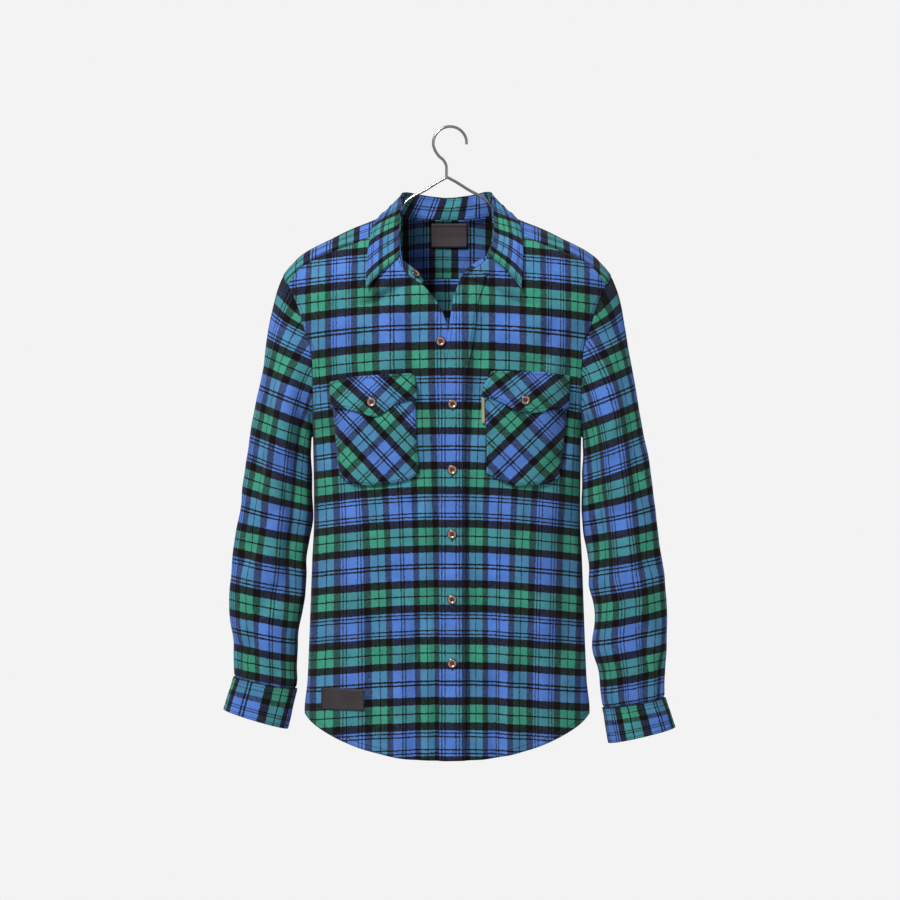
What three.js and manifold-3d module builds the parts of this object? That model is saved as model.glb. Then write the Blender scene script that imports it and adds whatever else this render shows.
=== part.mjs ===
// Flannel shirt hanging open-necked on a chrome wire hanger, in millimetres, +Z up.
// X runs to the viewer's right, Y away from the viewer. The origin is the inside top of the hook.
import * as THREE from 'three';
import { mergeVertices } from 'three/addons/utils/BufferGeometryUtils.js';
import Module from 'manifold-3d';

const manifold = await Module();
manifold.setup();

// Cloth
const CLOTH = 1.2;
const SEAM = 0.3;
const LAYER = CLOTH + SEAM;
const UNDER_LAP = 2.3;

// Whole garment
const AXIS = -4;
const ROUNDNESS = 2.3;
const RING_WIDE = 188;
const RING_DEEP = 82;
const UNDERARM = -425;
const SHOULDER_Z = -222;
const SHOULDER_HALF = 231;

// Mesh steps
const FRONT_COLUMNS = 10;
const LOWER_ROWS = 12;
const UPPER_LEVELS = [0, 0.1, 0.22, 0.34, 0.46, 0.58, 0.7, 0.77, 0.84, 0.92, 1];
const UPPER_ROWS = UPPER_LEVELS.length - 1;
const NECK_ROW = { left: UPPER_LEVELS.indexOf(0.7), right: UPPER_LEVELS.indexOf(0.77) };
const NECK_COLUMNS = 5;
const YOKE_ROWS = 8;
const SLEEVE_RINGS = 16;

// Fastenings
const BAND_WIDTH = 34.5;
const BUTTON = { radius: 6.6, thick: 2.4, holeRadius: 0.9, holeSpacing: 1.7, sides: 14 };
const BUTTON_HEIGHTS = [-382, -471, -557.5, -646, -732.5];

// Hanger
const WIRE = 4;
const WIRE_SIDES = 8;
const HOOK_RADIUS = 23;

const lerp = (a, b, t) => a + (b - a) * t;
const clamp = (t) => Math.min(1, Math.max(0, t));
const ease = (t) => clamp(t) ** 2 * (3 - 2 * clamp(t));
const point = (x, y, z) => new THREE.Vector3(x, y, z);

// A smooth curve through (key, value) pairs that never overshoots them.
function smoothCurve(keys, values) {
  const last = keys.length - 1;
  const slope = (i) => (values[i + 1] - values[i]) / (keys[i + 1] - keys[i]);
  const tangent = values.map((_, i) => {
    if (i === 0) return slope(0);
    if (i === last) return slope(last - 1);
    const before = slope(i - 1);
    const after = slope(i);
    return before * after <= 0 ? 0 : (2 * before * after) / (before + after);
  });
  return (key) => {
    if (key <= keys[0]) return values[0];
    if (key >= keys[last]) return values[last];
    let i = 0;
    while (key > keys[i + 1]) i += 1;
    const step = keys[i + 1] - keys[i];
    const t = (key - keys[i]) / step;
    const rise = values[i + 1] - values[i];
    const start = tangent[i] * step - rise;
    const end = tangent[i + 1] * step - rise;
    return values[i] + rise * t + t * (1 - t) * ((1 - t) * start - t * end);
  };
}

// A table's first column is its key, and each other column becomes a smooth curve over it.
function table(columns, rows) {
  const sorted = [...rows].sort((a, b) => a[0] - b[0]);
  const keys = sorted.map((row) => row[0]);
  const curves = {};
  columns.slice(1).forEach((name, i) => {
    curves[name] = smoothCurve(keys, sorted.map((row) => row[i + 1]));
  });
  return curves;
}

// The filled garment: half width, and how far it stands before and behind the hanger.
const BODY = table(['z', 'half', 'front', 'back'], [
  [-84, 20, 1, 2],
  [-96, 44, 2, 4],
  [-106, 62, 5, 16],
  [-111, 73, 9, 28],
  [-117, 82, 15, 38],
  [-123, 91, 22, 47],
  [-127, 98, 26, 52],
  [-130.5, 106, 30, 55],
  [-138, 125, 37, 58],
  [-146, 143, 43, 61],
  [-155, 160.5, 49, 63],
  [-163, 177, 55, 65],
  [-171, 192, 60, 67],
  [-180, 204.5, 64, 69],
  [-188, 212, 69, 70],
  [-196, 219.5, 73, 71],
  [-204, 225.5, 76, 72],
  [-212, 230, 79, 73],
  [SHOULDER_Z, SHOULDER_HALF, 82, 73],
  [-250, 228, 86, 74],
  [-280, 220, 87, 75],
  [-301, 214, 87, 75],
  [-325, 208, 87, 75],
  [-380, 195, 86, 74],
  [-410, 188, 85, 73],
  [UNDERARM, 184.5, 84, 72],
  [-541, 183, 80, 68],
  [-596, 185.5, 79, 67],
  [-651, 187.5, 78, 66],
  [-706, 189.5, 78, 66],
  [-762, 192, 80, 68],
  [-803, 196, 82, 70],
  [-880, 196, 83, 71],
]);

// Armhole seam: distance from the middle of the garment, before and behind.
const ARMHOLE = table(['z', 'front', 'back'], [
  [UNDERARM, 184.5, 184.5],
  [-418, 184.1, 184.1],
  [-405, 183.7, 183.8],
  [-380, 183.3, 184],
  [-340, 183, 187],
  [-310, 185, 194],
  [-280, 194, 204],
  [-250, 203, 216],
  [-218, 217, 223],
]);

// Forward seam of the yoke and the hem, by distance from the middle.
const YOKE_SEAM = table(['x', 'z'], [
  [70, -140],
  [100, -152],
  [134, -165.5],
  [183, -185],
  [205, -201],
  [217, -218],
]);
const HEM = table(['x', 'front', 'back'], [
  [0, -864, -872],
  [45, -862.6, -871],
  [108, -851, -860],
  [143, -839, -846],
  [168, -827, -832],
  [184, -817, -820],
  [196, -806, -806],
]);

// Front edges: the neckline down to the top of the opening, then the edge of the opening.
const FRONT_EDGE = {
  left: table(['z', 'x'], [
    [-140, -70], [-160, -71], [-180, -68.5], [-200, -59], [-214, -44], [-223.5, -31],
    [-241, -16], [-257, -6.7], [-276, 0], [-303, 8], [-343, 16], [-390, 21], [-450, 23], [-880, 23],
  ]),
  right: table(['z', 'x'], [
    [-140, 70], [-160, 67], [-176, 61], [-190, 50], [-200, 36], [-206, 22],
    [-226, 13.5], [-242, 8], [-272, 4], [-290, 1.4], [-312, -2.6], [-343, -8], [-377, -9.4],
    [-444, -10], [-880, -10],
  ]),
};

// Folds of the body: a soft trough or ridge from one place to another, as seen from its own face.
const FOLDS = [
  { face: 'front', x0: 60, z0: -560, x1: 66, z1: -900, width: 15, height: -6 },
  { face: 'front', x0: 92, z0: -600, x1: 88, z1: -900, width: 18, height: 3 },
  { face: 'front', x0: -158, z0: -470, x1: -160, z1: -740, width: 14, height: -5 },
  { face: 'front', x0: 158, z0: -500, x1: 164, z1: -740, width: 14, height: -4 },
  { face: 'front', x0: -60, z0: -640, x1: -76, z1: -900, width: 22, height: 3 },
  { face: 'back', x0: -95, z0: -330, x1: -70, z1: -900, width: 24, height: -6 },
  { face: 'back', x0: 90, z0: -360, x1: 74, z1: -900, width: 22, height: -6 },
  { face: 'back', x0: 4, z0: -300, x1: 8, z1: -900, width: 30, height: 4 },
];

// Height of the folds at a place on one face.
function relief(face, x, z) {
  let sum = 0;
  for (const f of FOLDS.filter((row) => row.face === face)) {
    const along = (f.z0 - z) / (f.z0 - f.z1);
    if (along <= 0 || along >= 1) continue;
    const across = (x - lerp(f.x0, f.x1, along)) / f.width;
    sum += f.height * Math.exp(-across * across) * ease(along * 3) * ease((1 - along) * 6);
  }
  return sum;
}

// Even steps along a quarter of the garment's rounded section, from its middle to its side.
const QUARTER = (() => {
  const steps = 240;
  const places = [{ x: 0, run: 0 }];
  let before = [0, RING_DEEP];
  for (let i = 1; i <= steps; i += 1) {
    const angle = (i / steps) * (Math.PI / 2);
    const x = Math.sin(angle) ** (2 / ROUNDNESS);
    const here = [x * RING_WIDE, Math.cos(angle) ** (2 / ROUNDNESS) * RING_DEEP];
    const run = places[i - 1].run + Math.hypot(here[0] - before[0], here[1] - before[1]);
    places.push({ x, run });
    before = here;
  }
  return places;
})();
const QUARTER_RUN = QUARTER[QUARTER.length - 1].run;

function between(list, from, to, value) {
  let i = 0;
  while (i < list.length - 2 && list[i + 1][from] < value) i += 1;
  const t = clamp((value - list[i][from]) / (list[i + 1][from] - list[i][from]));
  return lerp(list[i][to], list[i + 1][to], t);
}
function acrossAt(share) {
  return Math.sign(share) * between(QUARTER, 'run', 'x', Math.abs(share) * QUARTER_RUN);
}
function shareAt(across) {
  return (Math.sign(across) * between(QUARTER, 'x', 'run', Math.abs(across))) / QUARTER_RUN;
}

const sign = (face) => (face === 'front' ? -1 : 1);
const spread = (z) => (z > SHOULDER_Z ? SHOULDER_HALF : BODY.half(z));

// A point of the filled garment on one face.
function bodyPoint(face, x, z) {
  const profile = (1 - clamp(Math.abs(x) / BODY.half(z)) ** ROUNDNESS) ** (1 / ROUNDNESS);
  const depth = profile * BODY[face](z) + relief(face, x, z) * Math.min(1, profile * 2);
  return point(AXIS + x, sign(face) * depth, z);
}

function bodyNormal(face, x, z) {
  const step = 0.5;
  const alongX = bodyPoint(face, x + step, z).sub(bodyPoint(face, x - step, z));
  const alongZ = bodyPoint(face, x, z + step).sub(bodyPoint(face, x, z - step));
  return alongX.cross(alongZ).multiplyScalar(-sign(face)).normalize();
}

const onBody = (face, x, z, lift) => bodyPoint(face, x, z).addScaledVector(bodyNormal(face, x, z), lift);

// Finds where a rising function crosses zero.
function solve(low, high, rises) {
  let [a, b] = [low, high];
  for (let i = 0; i < 40; i += 1) {
    const middle = (a + b) / 2;
    if (rises(middle) > 0) b = middle;
    else a = middle;
  }
  return (a + b) / 2;
}

// A grid of cloth points becomes a closed wall. Faces turn outwards when the normals do.
function clothWall(name, color, rows, { closed = false, thick = CLOTH, flip = false } = {}) {
  const count = rows.length;
  const width = rows[0].length;
  const at = (i, j) => rows[i][closed ? (j + width) % width : Math.min(width - 1, Math.max(0, j))];
  const vertices = [];
  for (const half of [thick / 2, -thick / 2]) {
    for (let i = 0; i < count; i += 1) {
      for (let j = 0; j < width; j += 1) {
        const up = at(Math.min(count - 1, i + 1), j).clone().sub(at(Math.max(0, i - 1), j));
        const side = at(i, j + 1).clone().sub(at(i, j - 1));
        const normal = side.cross(up).normalize().multiplyScalar(flip ? -1 : 1);
        vertices.push(at(i, j).clone().addScaledVector(normal, half));
      }
    }
  }
  const inner = count * width;
  const index = (i, j) => i * width + (closed ? j % width : j);
  const faces = [];
  const quad = (a, b, c, d) => faces.push(a, b, c, a, c, d);
  const columns = closed ? width : width - 1;
  for (let i = 0; i < count - 1; i += 1) {
    for (let j = 0; j < columns; j += 1) {
      const [a, b, c, d] = [index(i, j), index(i, j + 1), index(i + 1, j + 1), index(i + 1, j)];
      quad(a, b, c, d);
      quad(inner + d, inner + c, inner + b, inner + a);
    }
  }
  const rim = (a, b) => quad(inner + a, inner + b, b, a);
  for (let j = 0; j < columns; j += 1) {
    rim(index(0, j), index(0, j + 1));
    rim(index(count - 1, j + 1), index(count - 1, j));
  }
  for (let i = 0; i < count - 1 && !closed; i += 1) {
    rim(index(i + 1, 0), index(i, 0));
    rim(index(i, width - 1), index(i + 1, width - 1));
  }
  if (flip) faces.reverse();
  return solid(name, color, vertices, faces);
}

function solid(name, color, vertices, faces, { roughness = 0.92, metalness = 0 } = {}) {
  const geometry = new THREE.BufferGeometry();
  const numbers = vertices.flatMap((v) => v.toArray());
  geometry.setAttribute('position', new THREE.Float32BufferAttribute(numbers, 3));
  geometry.setIndex(faces);
  geometry.computeVertexNormals();
  const mesh = new THREE.Mesh(geometry, new THREE.MeshStandardMaterial({ color, roughness, metalness }));
  mesh.name = name;
  return mesh;
}

const shirt = new THREE.Group();
const PLAID = 0x2f5f8f;
const PLAID_GREEN = 0x2f7a66;
const LABEL = 0x241f24;
const TAPE = 0xc9c0a8;
const HORN = 0x5d3a22;
const CHROME = 0xc9cbd0;

// Rows from the hem up to the underarm, then to the top of the panel. A border keeps its width
// along the first edge, over the first columns.
const BORDER_COLUMNS = 2;
function panelRows(face, columns, edges, hem, top, lift, border = 0) {
  const rows = [];
  for (let row = 0; row <= LOWER_ROWS + UPPER_ROWS; row += 1) {
    const lower = row <= LOWER_ROWS;
    const up = lower ? row / LOWER_ROWS : UPPER_LEVELS[row - LOWER_ROWS];
    const line = [];
    for (let column = 0; column <= columns; column += 1) {
      const place = (z) => {
        const [edge, to] = edges(z);
        if (border > 0 && column <= BORDER_COLUMNS) return edge + (border * column) / BORDER_COLUMNS;
        const from = edge + border;
        const before = border > 0 ? BORDER_COLUMNS : 0;
        const rest = (column - before) / (columns - before);
        return spread(z) * acrossAt(lerp(shareAt(from / spread(z)), shareAt(to / spread(z)), rest));
      };
      const z = solve(-900, -120, (height) => {
        const x = Math.abs(place(height));
        return height - (lower ? lerp(hem(x), UNDERARM, up) : lerp(UNDERARM, top(x), up));
      });
      line.push(onBody(face, place(z), z, lift(place(z))));
    }
    rows.push(line);
  }
  return rows;
}

const sideLimit = (face, z) => {
  const full = BODY.half(z) * acrossAt(1 - SEAM / 2 / QUARTER_RUN);
  return z < UNDERARM ? full : Math.min(full, ARMHOLE[face](z));
};
const yokeSeamBack = (x) => -204 - 46 * clamp(x / 222) ** 2.2;

// The under front lies a layer deeper where the upper front and its band cross it.
const frontRows = {
  left: panelRows('front', FRONT_COLUMNS,
    (z) => [-sideLimit('front', z), FRONT_EDGE.left.x(z)],
    (x) => HEM.front(x), (x) => YOKE_SEAM.z(x) - SEAM,
    (x) => -UNDER_LAP * ease((x + 34) / 20)),
  right: panelRows('front', FRONT_COLUMNS,
    (z) => [FRONT_EDGE.right.x(z), sideLimit('front', z)],
    (x) => HEM.front(x), (x) => YOKE_SEAM.z(x) - SEAM,
    () => 0, BAND_WIDTH),
};
const BACK_COLUMNS = 2 * (FRONT_COLUMNS + NECK_COLUMNS);
const backRows = panelRows('back', BACK_COLUMNS,
  (z) => [-sideLimit('back', z), sideLimit('back', z)],
  (x) => HEM.back(x), (x) => yokeSeamBack(x) - SEAM,
  () => 0);
shirt.add(clothWall('front_left', PLAID, frontRows.left));
shirt.add(clothWall('front_right', PLAID, frontRows.right));
shirt.add(clothWall('back', PLAID, backRows, { flip: true }));

// The yoke is drawn by angle round a line under the shoulders: 0 is straight up, + is backwards.
const yokeCentre = (x) => yokeSeamBack(Math.abs(x)) - 10;
function yokePoint(x, angle) {
  const centre = yokeCentre(x);
  const face = angle < 0 ? 'front' : 'back';
  const radius = solve(5, 200, (r) => {
    const z = centre + r * Math.cos(angle);
    const y = Math.abs(r * Math.sin(angle));
    return (Math.abs(x) / BODY.half(z)) ** ROUNDNESS + (y / BODY[face](z)) ** ROUNDNESS - 1;
  });
  return point(AXIS + x, radius * Math.sin(angle), centre + radius * Math.cos(angle));
}
const angleOf = (p) => Math.atan2(p.y, p.z - yokeCentre(p.x - AXIS));

// Neckline over the yoke, from the forward seam round to the middle of the back.
const YOKE_NECK = table(['share', 'x', 'degrees'], [
  [0, 70, -23],
  [0.2, 70, -6],
  [0.4, 68, 8],
  [0.6, 58, 19.5],
  [0.8, 32, 26],
  [1, 0, 28.5],
]);

const YOKE_REACH = 216;
const YOKE_TURN = 112;
const YOKE_TIP = { bulge: 8.8, peak: 0.69, fade: 6 };
const YOKE_BEND = 0.7;
function yokeLine(side, share) {
  const seamPart = FRONT_COLUMNS / (FRONT_COLUMNS + NECK_COLUMNS);
  const backX = share <= seamPart ? lerp(YOKE_REACH, YOKE_TURN, share / seamPart)
    : (YOKE_TURN * (1 - share)) / (1 - seamPart);
  const end = bodyPoint('back', side * backX, yokeSeamBack(backX));
  let startX;
  let startAngle;
  if (share <= seamPart) {
    const top = frontRows[side < 0 ? 'left' : 'right'][LOWER_ROWS + UPPER_ROWS];
    const column = Math.round((share / seamPart) * FRONT_COLUMNS);
    const meeting = top[side < 0 ? column : FRONT_COLUMNS - column];
    startX = Math.abs(meeting.x - AXIS);
    startAngle = angleOf(bodyPoint('front', side * startX, YOKE_SEAM.z(startX) + 0.05));
  } else {
    const neckShare = (share - seamPart) / (1 - seamPart);
    startX = YOKE_NECK.x(neckShare);
    startAngle = THREE.MathUtils.degToRad(YOKE_NECK.degrees(neckShare));
  }
  const endAngle = angleOf(end);
  const line = [];
  for (let row = 0; row <= YOKE_ROWS; row += 1) {
    const t = row / YOKE_ROWS;
    const hump = Math.sin(Math.PI * t ** YOKE_TIP.peak) * (1 - share) ** YOKE_TIP.fade;
    const x = lerp(startX, backX, t ** YOKE_BEND) + YOKE_TIP.bulge * hump;
    line.push(yokePoint(side * x, lerp(startAngle, endAngle, t)));
  }
  return line;
}

const yokeColumns = [];
const HALF_YOKE = FRONT_COLUMNS + NECK_COLUMNS;
for (let column = 0; column <= 2 * HALF_YOKE; column += 1) {
  const share = 1 - Math.abs(column - HALF_YOKE) / HALF_YOKE;
  yokeColumns.push(yokeLine(column < HALF_YOKE ? -1 : 1, share));
}
const yokeRows = yokeColumns[0].map((_, row) => yokeColumns.map((line) => line[row]));
shirt.add(clothWall('yoke', PLAID_GREEN, yokeRows));

// Sleeves: where each ring's outer and inner end lie, and how far it bulges before and behind.
const SLEEVE_COLUMNS = ['ring', 'outerX', 'outerZ', 'innerX', 'innerZ', 'front', 'back'];
const UPPER_ARM = [
  [0, 225.5, -204, 184.5, -425, 47, 46],
  [1, 235, -229, 187.6, -428, 47, 47],
  [2, 242.5, -262, 188, -436, 49, 49],
  [3, 249, -300, 188.5, -448, 50, 51],
  [4, 256.5, -345, 189, -466, 51, 53],
  [5, 266, -395, 189.5, -490, 50, 54],
  [6, 273.5, -445, 190, -520, 49, 54],
  [7, 280.5, -495, 192, -553, 48, 53],
  [8, 287, -545, 195, -590, 47, 51],
  [9, 292.5, -590, 195.5, -628, 45, 48],
];
const SLEEVE = {
  left: table(SLEEVE_COLUMNS, [...UPPER_ARM,
    [10, 296.5, -635, 201, -668, 43, 45],
    [11, 297, -675, 206, -702, 40, 42],
    [12, 295.5, -710, 206.5, -732, 36, 38],
    [13, 294, -740, 206.5, -756, 31, 33],
    [14, 293.5, -756.5, 209, -773, 28, 30],
  ]),
  right: table(SLEEVE_COLUMNS, [...UPPER_ARM,
    [10, 298.5, -640, 205, -672, 43, 45],
    [11, 301.5, -685, 202, -712, 40, 42],
    [12, 301.5, -728, 209, -750, 36, 38],
    [13, 300.8, -768, 212, -784, 31, 33],
    [14, 300, -785.5, 216, -799.5, 28, 30],
  ]),
};
const LAST_RING = 14;
const SETTLED_RING = 4.5;
const ARMHOLE_CLEAR = { shoulder: 1, underarm: 2.4, reach: 0.12 };
const TUBE_ROUNDNESS = 2.15;

const power = (value, exponent) => Math.sign(value) * Math.abs(value) ** exponent;

// The closed line of an armhole, from the underarm up the front and down the back.
function armhole(side) {
  const outer = side < 0 ? 0 : FRONT_COLUMNS;
  const front = frontRows[side < 0 ? 'left' : 'right'].slice(LOWER_ROWS).map((row) => row[outer]);
  const over = yokeColumns[side < 0 ? 0 : 2 * HALF_YOKE].slice(1, -1);
  const back = backRows.slice(LOWER_ROWS + 1).map((row) => row[side < 0 ? 0 : BACK_COLUMNS]);
  return [...front, ...over, ...back.reverse()];
}

// Long folds down the sleeve by their place round it: a part sunk beside the body, a ridge
// outside it and a trough behind.
const SLEEVE_FOLDS = [
  { turn: 0.135, width: 0.075, height: -11 },
  { turn: 0.29, width: 0.07, height: 4 },
  { turn: 0.74, width: 0.08, height: -6 },
];
const FOLDED_RINGS = [1.5, 10.5];
function sleeveFold(turn, ring) {
  const along = ease((ring - FOLDED_RINGS[0]) / 2) * ease((FOLDED_RINGS[1] - ring) / 2);
  return SLEEVE_FOLDS.reduce(
    (sum, f) => sum + along * f.height * Math.exp(-(((turn - f.turn) / f.width) ** 2)), 0);
}

function sleeveRows(side) {
  const name = side < 0 ? 'left' : 'right';
  const size = SLEEVE[name];
  const loop = armhole(side);
  const runs = [0];
  loop.forEach((p, i) => runs.push(runs[i] + p.distanceTo(loop[(i + 1) % loop.length])));
  const turns = loop.map((_, i) => runs[i] / runs[loop.length]);
  const outerEnd = (ring) => point(AXIS + side * size.outerX(ring), 0, size.outerZ(ring));
  const innerEnd = (ring) => point(AXIS + side * size.innerX(ring), 0, size.innerZ(ring));
  const [top, bottom] = [outerEnd(0), innerEnd(0)];
  const down = bottom.clone().sub(top);
  const out = point(-down.z, 0, down.x).normalize();
  const rows = [];
  for (let step = 0; step <= SLEEVE_RINGS; step += 1) {
    const ring = (step / SLEEVE_RINGS) * LAST_RING;
    const settle = ease(ring / SETTLED_RING);
    const [from, to] = [outerEnd(ring), innerEnd(ring)];
    const span = to.clone().sub(from);
    const across = point(-span.z, 0, span.x).normalize();
    rows.push(loop.map((p, i) => {
      const own = p.clone().sub(top);
      const ownShare = own.dot(down) / down.lengthSq();
      const angle = 2 * Math.PI * turns[i];
      const bulge = Math.sin(angle) > 0 ? -size.front(ring) : size.back(ring);
      const roundShare = (1 + power(Math.cos(angle), 2 / TUBE_ROUNDNESS)) / 2;
      const roundY = bulge * Math.abs(Math.sin(angle)) ** (2 / TUBE_ROUNDNESS);
      const placed = from.clone().addScaledVector(span, lerp(ownShare, roundShare, settle));
      placed.addScaledVector(across, own.dot(out) * (1 - settle));
      placed.y += lerp(own.y, roundY, settle);
      const centre = from.clone().lerp(to, 0.5);
      const outwards = placed.clone().sub(centre).normalize();
      return placed.addScaledVector(outwards, sleeveFold(turns[i], ring));
    }));
  }
  // The first ring stands clear of the armhole, more so beside the side seam.
  rows[0] = rows[0].map((p, i) => {
    const low = ease(1 - Math.min(turns[i], 1 - turns[i]) / ARMHOLE_CLEAR.reach);
    const clear = lerp(ARMHOLE_CLEAR.shoulder, ARMHOLE_CLEAR.underarm, low);
    return p.clone().add(rows[1][i].clone().sub(p).setLength(clear));
  });
  return rows;
}

const sleeves = { left: sleeveRows(-1), right: sleeveRows(1) };
shirt.add(clothWall('sleeve_left', PLAID, sleeves.left, { closed: true, flip: true }));
shirt.add(clothWall('sleeve_right', PLAID, sleeves.right, { closed: true, flip: true }));

// Cuffs: a band whose end laps over its start at the back of the wrist.
const CUFF = table(['down', 'leftOuterX', 'leftOuterZ', 'leftInnerX', 'leftInnerZ', 'rightOuterX',
  'rightOuterZ', 'rightInnerX', 'rightInnerZ', 'deep'], [
  [0, 294, -757, 208.6, -773.5, 300.4, -786, 215.6, -800, 29],
  [0.5, 301, -780, 215, -801, 308, -806.5, 219.6, -824, 30],
  [1, 307, -802, 221.5, -828, 314.5, -826.5, 223.6, -848, 31],
]);
const CUFF_START = 0.78;
const CUFF_LAP = 0.1;
const CUFF_COLUMNS = 22;
const CUFF_ROWS = 2;
const CUFF_ROUNDNESS = 2.2;
const CUFF_SPIRAL = 1;

function cuffPoint(name, turn, down, lift) {
  const side = name === 'left' ? -1 : 1;
  const from = point(AXIS + side * CUFF[`${name}OuterX`](down), 0, CUFF[`${name}OuterZ`](down));
  const to = point(AXIS + side * CUFF[`${name}InnerX`](down), 0, CUFF[`${name}InnerZ`](down));
  const centre = from.clone().lerp(to, 0.5);
  const reach = from.distanceTo(to) / 2 + lift;
  const angle = 2 * Math.PI * turn;
  const along = from.clone().sub(centre).normalize();
  const placed = centre.addScaledVector(along, power(Math.cos(angle), 2 / CUFF_ROUNDNESS) * reach);
  placed.y -= power(Math.sin(angle), 2 / CUFF_ROUNDNESS) * (CUFF.deep(down) + lift);
  return placed;
}

function cuffRows(name) {
  const rows = [];
  for (let row = 0; row <= CUFF_ROWS; row += 1) {
    const line = [];
    for (let column = 0; column <= CUFF_COLUMNS; column += 1) {
      const share = column / CUFF_COLUMNS;
      const turn = CUFF_START + share * (1 + CUFF_LAP);
      line.push(cuffPoint(name, turn, row / CUFF_ROWS, lerp(-CUFF_SPIRAL, CUFF_SPIRAL, share)));
    }
    rows.push(line);
  }
  return rows;
}
shirt.add(clothWall('cuff_left', PLAID_GREEN, cuffRows('left'), { flip: false }));
shirt.add(clothWall('cuff_right', PLAID_GREEN, cuffRows('right'), { flip: true }));

// A grid of points over a patch, from a rule for each place (across, up) between 0 and 1.
function patchRows(columns, rows, rule) {
  return Array.from({ length: rows + 1 }, (_, row) =>
    Array.from({ length: columns + 1 }, (__, column) => rule(column / columns, row / rows)));
}

// Moves a grid of cloth points out of its own surface.
function movedOut(rows, lift) {
  return rows.map((row, i) => row.map((p, j) => {
    const up = rows[Math.min(rows.length - 1, i + 1)][j].clone().sub(rows[Math.max(0, i - 1)][j]);
    const side = row[Math.min(row.length - 1, j + 1)].clone().sub(row[Math.max(0, j - 1)]);
    return p.clone().addScaledVector(side.cross(up).normalize(), lift);
  }));
}

// Buttonhole band along the edge of the upper front, up to the neck.
const borderRows = frontRows.right.slice(0, LOWER_ROWS + NECK_ROW.right + 1)
  .map((row) => row.slice(0, BORDER_COLUMNS + 1));
shirt.add(clothWall('buttonhole_band', PLAID, movedOut(borderRows, LAYER)));

// Pockets: a bag cut on the bias with a pointed foot, and a flap over its mouth.
const POCKET = {
  left: {
    side: table(['z', 'outer', 'inner'], [[-350, -156, -44], [-388, -152, -43], [-482, -143, -38]]),
    foot: table(['x', 'z'], [
      [-144, -477], [-135, -486], [-99, -492.5], [-56, -485.5], [-42, -478], [-37, -472],
    ]),
    flapTop: table(['x', 'z'], [[-158, -352], [-138, -348], [-97, -343], [-51, -341], [-44, -345]]),
    flapFoot: table(['x', 'z'], [[-155, -386], [-133, -389], [-94.5, -399], [-65, -382], [-41, -375.5]]),
    flapSide: table(['z', 'outer', 'inner'], [[-343, -157.6, -44], [-386, -154, -41]]),
  },
  right: {
    side: table(['z', 'outer', 'inner'], [[-350, 162, 52.7], [-390, 160, 52.7], [-472, 151, 52.9]]),
    foot: table(['x', 'z'], [[52.7, -475], [70, -484], [95, -493], [130, -490], [150, -485]]),
    flapTop: table(['x', 'z'], [[49, -338.5], [79, -338], [108, -338.6], [145, -340.8], [167, -343.5]]),
    flapFoot: table(['x', 'z'], [
      [48, -369.5], [73, -380], [102, -394], [117, -394], [138, -390], [163, -385],
    ]),
    flapSide: table(['z', 'outer', 'inner'], [[-339, 166, 59.5], [-369, 164, 48.6], [-386, 162, 48.6]]),
  },
};
const POCKET_MOUTH = -368;
const FLAP_LIFT = LAYER + 0.5;
const FLAP_FOLD = { margin: 3, depth: 12 };
const PANEL_CLEAR = { middle: LAYER + 0.4, side: 1.2, half: 170 };
const POCKET_PUFF = { left: -97, right: 106, centreZ: -425, halfX: 60, halfZ: 75, height: 3.5 };

// How far a piece laid on the front stands off it, more where the front curves away.
function panelClear(x) {
  return PANEL_CLEAR.middle + PANEL_CLEAR.side * (Math.abs(x) / PANEL_CLEAR.half) ** 4;
}

function pocketPuff(side, x, z) {
  const wide = clamp(1 - ((x - POCKET_PUFF[side]) / POCKET_PUFF.halfX) ** 2);
  const tall = clamp(1 - ((z - POCKET_PUFF.centreZ) / POCKET_PUFF.halfZ) ** 2);
  return POCKET_PUFF.height * Math.sqrt(wide * tall);
}

// A four-sided patch on the front between two upright edges, a top and a foot.
function frontPatch(columns, rows, sides, foot, top, lift) {
  return patchRows(columns, rows, (across, up) => {
    let z = lerp(-500, -350, up);
    let x = 0;
    for (let i = 0; i < 12; i += 1) {
      const [a, b] = sides(z);
      x = lerp(a, b, across);
      z = lerp(foot(x), top(x), up);
    }
    return onBody('front', x, z, lift(x, z));
  });
}

for (const side of ['left', 'right']) {
  const shape = POCKET[side];
  const edges = (rule) => (z) => [rule.outer(z), rule.inner(z)].sort((a, b) => a - b);
  const bag = frontPatch(8, 6, edges(shape.side), shape.foot.z, () => POCKET_MOUTH,
    (x, z) => panelClear(x) + pocketPuff(side, x, z));
  const overMouth = (x, z) => ease((shape.flapTop.z(x) - FLAP_FOLD.margin - z) / FLAP_FOLD.depth);
  const flap = frontPatch(8, 4, edges(shape.flapSide), shape.flapFoot.z, shape.flapTop.z,
    (x, z) => panelClear(x) + pocketPuff(side, x, z) + FLAP_LIFT * overMouth(x, z));
  shirt.add(clothWall(`pocket_${side}`, PLAID_GREEN, bag));
  shirt.add(clothWall(`flap_${side}`, PLAID, flap));
}

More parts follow.
